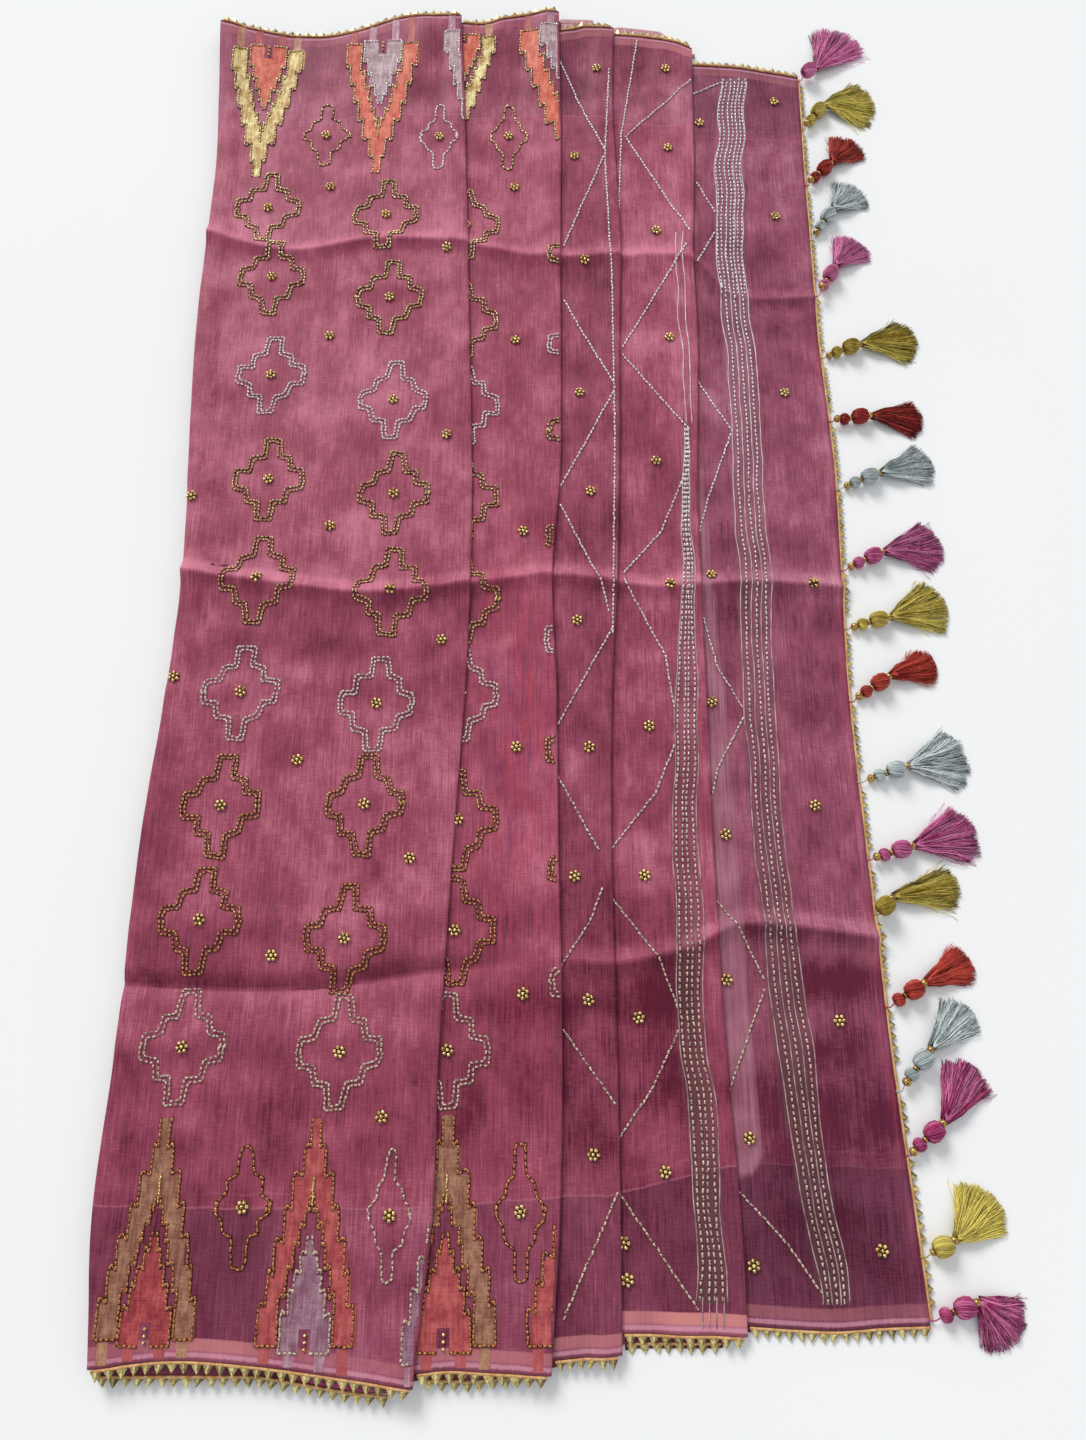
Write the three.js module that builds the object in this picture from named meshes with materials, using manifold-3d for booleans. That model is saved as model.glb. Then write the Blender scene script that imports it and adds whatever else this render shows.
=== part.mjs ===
// A tissue-silk saree, folded and laid flat: five stretches of cloth show side by side, each
// tucked under the fold of the one on its left, with a picot edging on every hem and a row
// of nineteen silk tassels on beaded threads along the open end. Millimetres, +Z up.

import * as THREE from 'three';
import { mergeVertices } from 'three/addons/utils/BufferGeometryUtils.js';
import Module from 'manifold-3d';

const wasm = await Module();
wasm.setup();

// ---------------------------------------------------------------- driving dimensions
const wall = 1.2;            // cloth, drawn as a wall of even thickness
const gap = 0.3;             // air between layers that touch in the real saree
const seam = 0.5;            // air between a hem and its edging
const layerStep = 2.1;       // each stretch lies this much above the next one
const turn = 1.0;            // radius of a folded edge, at the middle of the wall
const returnPly = 12;        // cloth that shows no more once it has turned under a fold
const tuck = 16;             // cloth of a stretch that lies under its left neighbour
const shoulder = 6;          // run over which a stretch climbs onto its own turned ply
const creaseFoot = 12;       // half the width of a pressed crease
const wave = { foot: 480, run: 90 };              // the far hems lift from here on
// hidden plies: how far each stands out at the left, heights of its notch and its bulge as
// shares of a ply, air above them, the run up to their top, and the step at both hems
const plies = { out: [1.8, 0.6, 1.1], notch: 0.5, notchTop: 0.3, bulgeTop: 0.75,
  hemHeight: 0.66, round: 3, air: 0.5, runUp: 2.4, hemStep: 7, hemStepRun: 0.8 };
const leftFoldRise = 1.8;    // the outermost fold lies this much above its stretch's level
const facing = { inset: 3, minStrip: 2 };

// where the folds and the tasselled end run, across, at each place along the cloth
const plan = [
  { y: -600, fold0: -287, fold1: -82, fold2: 5, fold3: 50, fold4: 131, end: 251 },
  { y: -572, fold0: -287, fold1: -82, fold2: 5, fold3: 50, fold4: 131, end: 251 },
  { y: -480, fold0: -296, fold1: -73, fold2: 11, fold3: 51, fold4: 131, end: 247 },
  { y: -380, fold0: -294, fold1: -72, fold2: 13, fold3: 51, fold4: 127, end: 242 },
  { y: -230, fold0: -294, fold1: -66, fold2: 11, fold3: 50, fold4: 125, end: 238 },
  { y: -110, fold0: -288, fold1: -60, fold2: 10, fold3: 53, fold4: 126, end: 236 },
  { y: -15, fold0: -286, fold1: -58, fold2: 7, fold3: 59, fold4: 126, end: 239 },
  { y: 90, fold0: -292, fold1: -59, fold2: 14, fold3: 63, fold4: 128, end: 242 },
  { y: 220, fold0: -299, fold1: -64, fold2: 15, fold3: 66, fold4: 134, end: 239 },
  { y: 310, fold0: -299, fold1: -67, fold2: 15, fold3: 69, fold4: 134, end: 240 },
  { y: 400, fold0: -299, fold1: -71, fold2: 16, fold3: 67, fold4: 139, end: 241 },
  { y: 480, fold0: -304, fold1: -74, fold2: 16, fold3: 65, fold4: 141, end: 243 },
  { y: 575, fold0: -310, fold1: -79, fold2: 15, fold3: 68, fold4: 144, end: 245 },
  { y: 600, fold0: -310, fold1: -79, fold2: 15, fold3: 68, fold4: 144, end: 245 },
];

// near (lower) and far (upper) hem of each stretch at five shares of its width
const hems = [
  { lower: [-569, -564, -567, -573, -580], upper: [572, 560, 560, 578, 580] },
  { lower: [-572, -570, -571, -572, -573], upper: [574, 574, 582, 587, 588] },
  { lower: [-565, -564, -563, -563, -562], upper: [567, 570, 574, 573, 572] },
  { lower: [-550, -550, -551, -551, -552], upper: [567, 565, 562, 557, 550] },
  { lower: [-546, -548, -549, -547, -546], upper: [532, 531, 528, 522, 516] },
];

// pressed creases across the whole stack: a rise is a ridge, a negative rise a valley
const creases = [
  [
    { x: -310, y: -331, rise: -4.5 }, { x: -180, y: -335, rise: -4.5 },
    { x: -70, y: -322, rise: -3.5 }, { x: 11, y: -314, rise: 1 },
    { x: 49, y: -317, rise: 4 }, { x: 106, y: -305, rise: 5 },
    { x: 143, y: -289, rise: 6.5 }, { x: 255, y: -300, rise: 7 },
  ],
  [
    { x: -310, y: -9, rise: 7 }, { x: -211, y: -23, rise: 7 },
    { x: -138, y: -31, rise: 6.5 }, { x: -61, y: -23, rise: 6 },
    { x: 14, y: -14, rise: 5 }, { x: 89, y: -23, rise: 5 },
    { x: 164, y: -18, rise: 5 }, { x: 255, y: -24, rise: 5 },
  ],
  [
    { x: -310, y: 325, rise: 5 }, { x: -224, y: 301, rise: 5 },
    { x: -151, y: 314, rise: 5 }, { x: -78, y: 312, rise: 5 },
    { x: -5, y: 298, rise: 4 }, { x: 68, y: 301, rise: 4 },
    { x: 136, y: 298, rise: 3 }, { x: 165, y: 262, rise: 3.5 },
    { x: 255, y: 258, rise: 4 },
  ],
];

// how far the far hems lift off the stack, across
const farWave = [
  { x: -310, rise: 5 }, { x: -215, rise: 0 }, { x: -110, rise: 5 }, { x: -40, rise: 2.5 },
  { x: 15, rise: 3.5 }, { x: 60, rise: 1.5 }, { x: 110, rise: 3 }, { x: 145, rise: 0 },
  { x: 255, rise: 0 },
];

// hems of the hidden layers, where they reach past the stretches that lie on them
const hiddenHems = [
  { x: -310, lower: -573, upper: 566 }, { x: -181, lower: -573, upper: 556 },
  { x: -155, lower: -577, upper: 557 }, { x: -123, lower: -582, upper: 568 },
  { x: -98, lower: -584, upper: 574 }, { x: -78, lower: -575, upper: 571 },
  { x: -47, lower: -576, upper: 572 }, { x: -2, lower: -572, upper: 582 },
  { x: 17, lower: -566, upper: 588 }, { x: 48, lower: -557, upper: 588 },
  { x: 60, lower: -555, upper: 578 }, { x: 75, lower: -555, upper: 580 },
  { x: 114, lower: -555, upper: 574 }, { x: 150, lower: -545, upper: 540 },
];

// bare strip of the last stretch between the fold beside it and the facing under it
const bareStrip = [
  { y: -600, width: 2 }, { y: -462, width: 2 }, { y: -450, width: 16 },
  { y: -395, width: 19 }, { y: -319, width: 17.5 }, { y: -196, width: 17 },
  { y: -116, width: 14 }, { y: -49, width: 11 }, { y: 78, width: 4 },
  { y: 140, width: 2 }, { y: 600, width: 2 },
];
const stripStations = [-462, -450];

const picot = { pitch: 7.6, cord: 2.0, tooth: 6.0, endTooth: 4.5, sideInset: 2.2 };
const hiddenEdgings = [
  { from: -284, to: -98 }, { from: -76, to: 4 }, { from: 54, to: 115 },
];

// beads on a tassel's thread, placed by the distance back from the tassel's neck
const beads = [
  { back: 30.6, half: 2.9, radius: 3.3, round: true },
  { back: 24.0, half: 3.4, radius: 4.8, round: true },
  { back: 19.0, half: 1.1, radius: 2.5, round: false },
  { back: 10.9, half: 6.5, radius: 6.5, round: true },
  { back: 2.2, half: 1.9, radius: 2.8, round: false },
];
const tasselForm = {
  threadRadius: 0.8, sides: 5, neckHeight: 4.8, floorGap: 0.35,
  lockRoot: 6, lockSpread: 0.72, widestLock: 4.4,
  beadAir: 0.6,              // air round a bead where the edging has no loop
  lockRaise: 0.6,            // rings on the thread lie this much above the neck
  droop: 0.08,               // fall of the head over its length
  widestHead: 40,            // most that half the head opens to, in degrees
  // distance from the neck, half width and half height of the head's rings
  flare: [[0.5, 3.0, 3.0], [5, 3.8, 3.9], [12, 3.4, 3.2]],
  // along a bead from end to end: share of its half length, share of its radius
  roundBead: [[-1, 0.42], [-0.5, 0.92], [0.5, 0.92], [1, 0.42]], flatBead: [[-1, 1], [1, 1]],
  // along a lock of the skirt: its underside and its height, at the root, midway and the tip
  lockRootForm: { base: 2.4, height: 3.6 }, lockMiddle: { at: 0.55, base: 1.1, height: 3.8 },
  lockTip: 1.7,
};

// tassels from the far end of the row to the near one: chain length and direction, skirt
// length, and the two directions, in degrees from straight out, that its fan lies between
const tassels = [
  { y: 511, chain: 21, turn: 36, skirt: 58, from: 24, to: 88, silk: 'magenta' },
  { y: 450, chain: 37, turn: 52, skirt: 47, from: -38, to: 46, silk: 'olive' },
  { y: 384, chain: 36, turn: 45, skirt: 36, from: 14, to: 88, silk: 'brick' },
  { y: 322, chain: 41, turn: 56, skirt: 36, from: 8, to: 86, silk: 'blue' },
  { y: 258, chain: 40, turn: 59, skirt: 37, from: 18, to: 88, silk: 'magenta' },
  { y: 196, chain: 38, turn: 21, skirt: 48, from: -25, to: 38, silk: 'olive' },
  { y: 132, chain: 36, turn: 8, skirt: 42, from: -30, to: 23, silk: 'brick' },
  { y: 67, chain: 40, turn: 22, skirt: 45, from: -13, to: 42, silk: 'blue' },
  { y: -7, chain: 39, turn: 25, skirt: 47, from: -23, to: 40, silk: 'magenta' },
  { y: -58, chain: 38, turn: 15, skirt: 46, from: -18, to: 50, silk: 'olive' },
  { y: -119, chain: 39, turn: 33, skirt: 37, from: -10, to: 44, silk: 'brick' },
  { y: -183, chain: 40, turn: 18, skirt: 45, from: -27, to: 46, silk: 'blue' },
  { y: -242, chain: 36, turn: 17, skirt: 47, from: -19, to: 45, silk: 'magenta' },
  { y: -282, chain: 19, turn: 42, skirt: 48, from: -11, to: 30, silk: 'olive' },
  { y: -347, chain: 34, turn: 31, skirt: 36, from: -2, to: 48, silk: 'brick' },
  { y: -403, chain: 39, turn: 48, skirt: 39, from: 16, to: 69, silk: 'blue' },
  { y: -444, chain: 35, turn: 39, skirt: 42, from: 28, to: 84, silk: 'magenta' },
  { y: -506, chain: 26, turn: 26, skirt: 37, from: 2, to: 82, silk: 'olive' },
  { y: -543, chain: 34, turn: 20, skirt: 32, from: -90, to: 2, silk: 'magenta' },
];

// ---------------------------------------------------------------- materials
function finish(color, roughness, metalness = 0) {
  return new THREE.MeshStandardMaterial({ color, roughness, metalness });
}
const silk = {
  cloth: finish(0x9f5669, 0.42), shadow: finish(0x7c3c4e, 0.55), gold: finish(0xc9a04e, 0.35, 0.7),
  magenta: finish(0xb5529a, 0.6), olive: finish(0xb3a748, 0.6), brick: finish(0xa63a33, 0.6),
  blue: finish(0x9fb8bf, 0.6),
};

// ---------------------------------------------------------------- curves through the tables
const lerp = (a, b, t) => a + (b - a) * t;
const clamp = (v, low, high) => Math.min(Math.max(v, low), high);
const radians = degrees => degrees * Math.PI / 180;

// a smooth curve through one column of a table, as a function of its key column
function smooth(rows, key, column) {
  const last = rows.length - 1;
  const row = n => rows[clamp(n, 0, last)];
  const slope = n => (row(n + 1)[column] - row(n - 1)[column])
    / (row(n + 1)[key] - row(n - 1)[key]);
  return at => {
    const v = clamp(at, rows[0][key], rows[last][key]);
    const n = Math.max(1, rows.findIndex(r => v <= r[key]));
    const span = row(n)[key] - row(n - 1)[key];
    const t = (v - row(n - 1)[key]) / span;
    const t2 = t * t;
    const t3 = t2 * t;
    return row(n - 1)[column] * (2 * t3 - 3 * t2 + 1) + row(n)[column] * (3 * t2 - 2 * t3)
      + slope(n - 1) * span * (t3 - 2 * t2 + t) + slope(n) * span * (t3 - t2);
  };
}

// straight runs between the rows of a table
function straight(rows, key, column) {
  return at => {
    const v = clamp(at, rows[0][key], rows[rows.length - 1][key]);
    const n = Math.max(1, rows.findIndex(r => v <= r[key]));
    const t = (v - rows[n - 1][key]) / (rows[n][key] - rows[n - 1][key]);
    return lerp(rows[n - 1][column], rows[n][column], t);
  };
}

const foldLine = ['fold0', 'fold1', 'fold2', 'fold3', 'fold4', 'end']
  .map(column => smooth(plan, 'y', column));
const hemLine = hems.map(hem => {
  const rows = hem.lower.map((lower, n) => ({ share: n / 4, lower, upper: hem.upper[n] }));
  return { lower: smooth(rows, 'share', 'lower'), upper: smooth(rows, 'share', 'upper') };
});
const creaseLine = creases.map(rows => ({
  y: smooth(rows, 'x', 'y'), rise: smooth(rows, 'x', 'rise'),
}));
const waveRise = straight(farWave, 'x', 'rise');
const hiddenHem = {
  lower: straight(hiddenHems, 'x', 'lower'), upper: straight(hiddenHems, 'x', 'upper'),
};
const stripWidth = straight(bareStrip, 'y', 'width');

// height that the creases and the lifted far hems add to every layer at a place
function relief(x, y) {
  const pressed = creaseLine.reduce((sum, crease) => {
    const off = Math.abs(y - crease.y(x)) / creaseFoot;
    return sum + crease.rise(x) * Math.max(0, 1 - off);
  }, 0);
  return pressed + waveRise(x) * Math.max(0, (y - wave.foot) / wave.run);
}

// lines across the stack that every layer has a row of points on, near to far
const crossLines = [
  ...creaseLine.flatMap((crease, n) => [
    x => crease.y(x) - creaseFoot,
    crease.y,
    x => crease.y(x) + creaseFoot,
    ...(n < 2 ? [x => lerp(crease.y(x), creaseLine[n + 1].y(x), 0.5)] : []),
  ]),
  () => wave.foot,
];

// ---------------------------------------------------------------- levels of the stretches
const stretchNumbers = [1, 2, 3, 4, 5];
const levelOf = k => layerStep * (6 - k);                       // middle of the wall
const foldLevelOf = k => levelOf(k) - layerStep + wall + gap + 2 * turn;
const leftFoldLevel = levelOf(1) + leftFoldRise;
const hiddenTopOf = k => levelOf(k) - wall / 2 - plies.air;

// share of the way across stretch k
function shareOf(k, x, y) {
  const left = foldLine[k - 1](y);
  return clamp((x - left) / (foldLine[k](y) - left), 0, 1);
}

// ---------------------------------------------------------------- solids
// a closed body from rings of points, with its two end rings closed by the given faces
function loft(rings, endFaces) {
  const count = rings[0].length;
  const points = rings.flat(2);
  const faces = [];
  for (let i = 0; i < rings.length - 1; i += 1) {
    for (let j = 0; j < count; j += 1) {
      const next = (j + 1) % count;
      const a = i * count + j;
      const b = i * count + next;
      // every layer is split the same way, near left to far right, so that none cut
      if (rings[i][next][0] > rings[i][j][0]) {
        faces.push([a, b, b + count], [a, b + count, a + count]);
      } else {
        faces.push([a, b, a + count], [b, b + count, a + count]);
      }
    }
  }
  const lastRing = (rings.length - 1) * count;
  endFaces.forEach(([a, b, c]) => {
    faces.push([a, c, b], [lastRing + a, lastRing + b, lastRing + c]);
  });
  return outward(points, faces);
}

// a geometry whose faces point out: its signed volume tells which way they were wound
function outward(points, faces) {
  const at = n => new THREE.Vector3().fromArray(points, 3 * n);
  const volume = faces.reduce((sum, [a, b, c]) => sum + at(a).dot(at(b).cross(at(c))), 0);
  const index = volume > 0 ? faces.flat() : faces.flatMap(([a, b, c]) => [a, c, b]);
  const geometry = new THREE.BufferGeometry();
  geometry.setAttribute('position', new THREE.Float32BufferAttribute(points, 3));
  geometry.setIndex(index);
  geometry.computeVertexNormals();
  return geometry;
}

// faces that close a convex ring, and the ring of a wall, whose two sides face each other
const fanFaces = count => Array.from({ length: count - 2 }, (_, n) => [0, n + 1, n + 2]);
const wallFaces = count => Array.from({ length: count / 2 - 1 }, (_, n) => [
  [n, n + 1, count - 2 - n], [n, count - 2 - n, count - 1 - n],
]).flat();

// the ring around a wall: its middle line moved out to both sides, square to its run
function wallRing(middle) {
  const side = sign => middle.map(([x, y, z], n) => {
    const before = middle[Math.max(n - 1, 0)];
    const after = middle[Math.min(n + 1, middle.length - 1)];
    const run = new THREE.Vector2(after[0] - before[0], after[2] - before[2]).normalize();
    return [x - sign * run.y * wall / 2, y, z + sign * run.x * wall / 2];
  });
  return [...side(1), ...side(-1).reverse()];
}

// where a line across the stack crosses a line along it
function crossing(along, cross) {
  let y = cross(along(0), 0);
  let x = along(y);
  for (let n = 0; n < 3; n += 1) {
    y = cross(x, y);
    x = along(y);
  }
  return [x, y];
}

// ---------------------------------------------------------------- the stretches
// a folded edge: half a circle from the turned ply to the stretch, or back
function foldTurn(fold, level, side) {
  const angles = [90, 30, -30, -90];
  const arc = angles.map(a => ({
    along: y => fold(y) + side * turn * (Math.cos(radians(a)) - 1),
    level: level - turn + turn * Math.sin(radians(a)),
  }));
  return [...arc, { along: y => fold(y) - side * returnPly, level: level - 2 * turn }];
}

const climbIn = returnPly + 1;
const climbOut = returnPly + 1 + shoulder;
const innerShares = { 1: [0.2, 0.35, 0.5, 0.65, 0.8], 2: [0.22, 0.5], 3: [0.3], 4: [0.3, 0.6] };

// lines along stretch k at shares of its width, clear of its folds
function innerLines(k) {
  return innerShares[k].map(share => y => lerp(foldLine[k - 1](y), foldLine[k](y), share));
}

// left side of the facing, and the lines that it shares with the last stretch
const facingLeft = y => foldLine[4](y) + Math.max(stripWidth(y), facing.minStrip);
const facingLines = [0, 0.25, 0.5, 0.75]
  .map(share => y => lerp(facingLeft(y), foldLine[5](y), share));

// the middle line of stretch k, from left to right
function middleLine(k) {
  const level = levelOf(k);
  const left = foldLine[k - 1];
  const right = foldLine[k];
  const start = k === 1
    ? [
      ...foldTurn(left, leftFoldLevel, -1).reverse(),
      { along: y => left(y) + climbIn, level: leftFoldLevel },
      { along: y => left(y) + climbOut, level },
    ]
    : [{ along: y => left(y) - tuck, level }, { along: left, level }];
  if (k === 5) {
    return [...start, ...[...facingLines, right].map(along => ({ along, level }))];
  }
  return [
    ...start,
    ...innerLines(k).map(along => ({ along, level })),
    { along: y => right(y) - climbOut, level },
    { along: y => right(y) - climbIn, level: foldLevelOf(k) },
    ...foldTurn(right, foldLevelOf(k), 1),
  ];
}

// cross lines of stretch k from its near hem to its far hem
function stretchCrossLines(k, inset = 0) {
  return [
    (x, y) => hemLine[k - 1].lower(shareOf(k, x, y)) + inset,
    ...(k === 5 ? stripStations.map(y => () => y) : []),
    ...crossLines,
    (x, y) => hemLine[k - 1].upper(shareOf(k, x, y)) - inset,
  ];
}

function clothWall(middle, lines) {
  const rings = lines.map(cross => wallRing(middle.map(({ along, level }) => {
    const [x, y] = crossing(along, cross);
    return [x, y, level + relief(x, y)];
  })));
  return loft(rings, wallFaces(rings[0].length));
}

const stretch = k => clothWall(middleLine(k), stretchCrossLines(k));

function facingWall() {
  const level = wall / 2;
  const lines = [...facingLines, y => foldLine[5](y) - facing.inset];
  return clothWall(
    lines.map(along => ({ along, level })),
    stretchCrossLines(5, facing.inset),
  );
}

// ---------------------------------------------------------------- the hidden layers
// lines along the top of the hidden layers, a step down to the right under each tuck
function hiddenTopLines() {
  const steps = stretchNumbers.slice(0, 4).flatMap(k => {
    const start = k === 1
      ? [plies.runUp, climbIn, climbOut].map(d => y => foldLine[0](y) + d)
      : [y => foldLine[k - 1](y) - tuck - 1, foldLine[k - 1]];
    return [...start, ...innerLines(k), y => foldLine[k](y) - climbOut]
      .map(along => ({ along, z: hiddenTopOf(k) }));
  });
  const end = [y => foldLine[4](y) - tuck - 1, y => foldLine[4](y) - 1]
    .map(along => ({ along, z: hiddenTopOf(5) }));
  return [...steps, ...end];
}

// one solid for all hidden plies: flat below, rounded into plies at its left side, stepped
// down to the right under each tuck, and stepped at both hems
function hiddenLayers() {
  const top = hiddenTopOf(1);
  const plyHeight = top / plies.out.length;
  const leftSide = plies.out.flatMap((out, n) => [
    { out: out + plies.notch, z: n * plyHeight },
    { out, z: (n + plies.notchTop) * plyHeight },
    { out, z: (n + plies.bulgeTop) * plyHeight },
  ]).map(({ out, z }) => ({ along: y => foldLine[0](y) + out, z, lift: z / top, pull: 0 }));
  const onTop = hiddenTopLines().map(line => ({ ...line, lift: 1, pull: 0 }));
  const below = onTop.filter((line, n) => n % 2 === 1 || n === onTop.length - 1)
    .map(({ along }) => ({ along, z: 0, lift: 0, pull: 1 }));
  const outline = [...leftSide, ...onTop, ...below.reverse()];

  const inside = side => x => hiddenHem[side](x) - Math.sign(hiddenHem[side](x)) * plies.hemStep;
  const rows = [
    { cross: hiddenHem.lower, height: plies.hemHeight, pull: plies.round },
    { cross: inside('lower'), height: plies.hemHeight, pull: 0 },
    { cross: x => inside('lower')(x) + plies.hemStepRun, height: 1, pull: 0 },
    ...crossLines.map(cross => ({ cross, height: 1, pull: 0 })),
    { cross: x => inside('upper')(x) - plies.hemStepRun, height: 1, pull: 0 },
    { cross: inside('upper'), height: plies.hemHeight, pull: 0 },
    { cross: hiddenHem.upper, height: plies.hemHeight, pull: -plies.round },
  ];
  const rings = rows.map(({ cross, height, pull: inward }) => (
    outline.map(({ along, z, lift, pull }) => {
      const [x, y] = crossing(along, cross);
      return [x, y + inward * pull, (z + relief(x, y) * lift) * height];
    })));
  return loft(rings, stripFaces(rings[0], leftSide.length + onTop.length));
}

// faces that close a ring whose upper points run left to right and whose others run back
function stripFaces(ring, upperCount) {
  const upper = Array.from({ length: upperCount }, (_, n) => n);
  const lower = [0, ...Array.from({ length: ring.length - upperCount }, (_, n) => (
    ring.length - 1 - n))];
  const faces = [];
  let i = 1;
  let j = 0;
  while (i < upper.length - 1 || j < lower.length - 1) {
    const lowerNext = j < lower.length - 1 && (j === 0 || i === upper.length - 1
      || ring[lower[j + 1]][0] < ring[upper[i + 1]][0] + 0.01);
    if (lowerNext) {
      faces.push([lower[j], upper[i], lower[j + 1]]);
      j += 1;
    } else {
      faces.push([lower[j], upper[i], upper[i + 1]]);
      i += 1;
    }
  }
  return faces.map(face => face.sort((a, b) => a - b));
}

// ---------------------------------------------------------------- picot edgings
const loopPairs = length => Math.max(1, Math.round(length / picot.pitch / 2));

// a cord along a hem with a row of pointed loops; along, out and up give its place, and
// keep says which loops stand
function edging(length, toothReach, place, keep = () => true) {
  const pairs = loopPairs(length);
  const pitch = length / (2 * pairs);
  const points = [];
  const faces = [];
  const add = (s, out, up) => points.push(...place(s, out, up)) / 3 - 1;
  const column = s => [0, wall].map(up => [add(s, 0, up), add(s, picot.cord, up)]);
  let left = column(0);
  faces.push([left[0][0], left[1][0], left[1][1]], [left[0][0], left[1][1], left[0][1]]);
  for (let n = 0; n < pairs; n += 1) {
    const s = 2 * n * pitch;
    const middle = [0, wall].map(up => add(s + pitch, picot.cord, up));
    const right = column(s + 2 * pitch);
    [0, 1].forEach(up => {
      const cordFaces = [
        [left[up][0], left[up][1], middle[up]], [left[up][0], middle[up], right[up][0]],
        [right[up][0], middle[up], right[up][1]],
      ];
      faces.push(...cordFaces.map(([a, b, c]) => (up ? [a, c, b] : [a, b, c])));
    });
    faces.push([left[0][0], right[0][0], right[1][0]], [left[0][0], right[1][0], left[1][0]]);
    const roots = [left.map(c => c[1]), middle, right.map(c => c[1])];
    [0, 1].forEach(m => {
      const [a, b] = [roots[m], roots[m + 1]];
      const tipAt = s + (m + 0.5) * pitch;
      if (!keep(tipAt)) {
        faces.push([a[0], a[1], b[1]], [a[0], b[1], b[0]]);
        return;
      }
      const tip = [0, wall].map(up => add(tipAt, picot.cord + toothReach, up));
      faces.push([a[0], tip[0], b[0]], [a[1], b[1], tip[1]]);
      faces.push([a[0], a[1], tip[1]], [a[0], tip[1], tip[0]]);
      faces.push([tip[0], tip[1], b[1]], [tip[0], b[1], b[0]]);
    });
    left = right;
  }
  faces.push([left[0][0], left[1][1], left[1][0]], [left[0][0], left[0][1], left[1][1]]);
  return outward(points, faces);
}

// the upper side of stretch k's wall along a hem, in the same straight runs as the wall
function hemPath(k, side) {
  const lines = stretchCrossLines(k);
  const cross = side === 'upper' ? lines[lines.length - 1] : lines[0];
  const rows = middleLine(k).filter(({ level }) => level > levelOf(k) - 0.01)
    .map(({ along, level }) => {
      const [x, y] = crossing(along, cross);
      return { x, y, z: level + relief(x, y) };
    });
  return { y: straight(rows, 'x', 'y'), z: straight(rows, 'x', 'z') };
}

// edging of one hem of stretch k
function hemEdging(k, side) {
  const sign = side === 'upper' ? 1 : -1;
  const path = hemPath(k, side);
  const middleY = hemLine[k - 1][side](0.5);
  const from = foldLine[k - 1](middleY) + picot.sideInset;
  const to = foldLine[k](middleY) - (k === 5 ? 0 : picot.sideInset);
  return edging(to - from, picot.tooth, (s, out, up) => {
    const x = from + s;
    return [x, path.y(x) + sign * (seam + out), path.z(x) - wall / 2 + up];
  });
}

// edging of a hidden layer's near hem, where it reaches past the stretch on it
function hiddenEdging({ from, to }) {
  const rows = hiddenTopLines().map(({ along, z }) => {
    const [x, y] = crossing(along, hiddenHem.lower);
    return { x, y, z: z * plies.hemHeight };
  });
  const hemY = straight(rows, 'x', 'y');
  const topZ = straight(rows, 'x', 'z');
  return edging(to - from, picot.tooth, (s, out, up) => {
    const x = from + s;
    return [x, hemY(x) - seam - gap - out, Math.max(topZ(x) - wall - gap, gap) + up];
  });
}

// ---------------------------------------------------------------- tassels
// the tasselled end as the wall has it: straight runs between its cross lines
const endRows = stretchCrossLines(5).map(cross => {
  const [x, y] = crossing(foldLine[5], cross);
  return { x, y, z: levelOf(5) + relief(x, y) };
});
const endX = straight(endRows, 'y', 'x');
const endZ = straight(endRows, 'y', 'z');

// the end's edging, and its top, which runs straight from one column of the edging to the next
const endRun = {
  from: hems[4].lower[4] + picot.sideInset,
  length: hems[4].upper[4] - hems[4].lower[4] - 2 * picot.sideInset,
};
const endColumns = Array.from({ length: loopPairs(endRun.length) + 1 }, (_, n) => {
  const y = endRun.from + n * endRun.length / loopPairs(endRun.length);
  return { y, z: endZ(y) + wall / 2 };
});
const endEdgingTop = straight(endColumns, 'y', 'z');

// what is threaded on a chain: only the beads that it has room for
const threaded = row => beads.filter(bead => bead.back + bead.half + 1 <= row.chain);

function chainPoint(row, along) {
  const angle = radians(row.turn);
  return [endX(row.y) + 1 + along * Math.cos(angle), row.y + along * Math.sin(angle)];
}

// a picot loop stands where no bead lies on it
function clearOfBeads(y, reach) {
  return tassels.every(row => threaded(row).every(bead => {
    const [bx, by] = chainPoint(row, row.chain - bead.back);
    const radius = Math.max(bead.radius, bead.half) + tasselForm.beadAir;
    const nearest = Math.max(0, Math.abs(by - y) - picot.pitch / 2);
    const out = bx - endX(y) - reach;
    return out > radius || Math.hypot(Math.max(out, 0), nearest) > radius;
  }));
}

function endEdging() {
  return edging(
    endRun.length,
    picot.endTooth,
    (s, out, up) => {
      const y = endRun.from + s;
      return [endX(y) + seam + out, y, endEdgingTop(y) - wall + up];
    },
    s => clearOfBeads(endRun.from + s, picot.cord + picot.endTooth),
  );
}

// a ring square to a direction in plan, flattened to a width and a height
function squareRing([x, y], z, angle, halfWidth, halfHeight) {
  return Array.from({ length: tasselForm.sides }, (_, n) => {
    const a = Math.PI / 2 + 2 * Math.PI * n / tasselForm.sides;
    const w = halfWidth * Math.cos(a);
    return [x - w * Math.sin(angle), y + w * Math.cos(angle), z + halfHeight * Math.sin(a)];
  });
}

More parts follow.
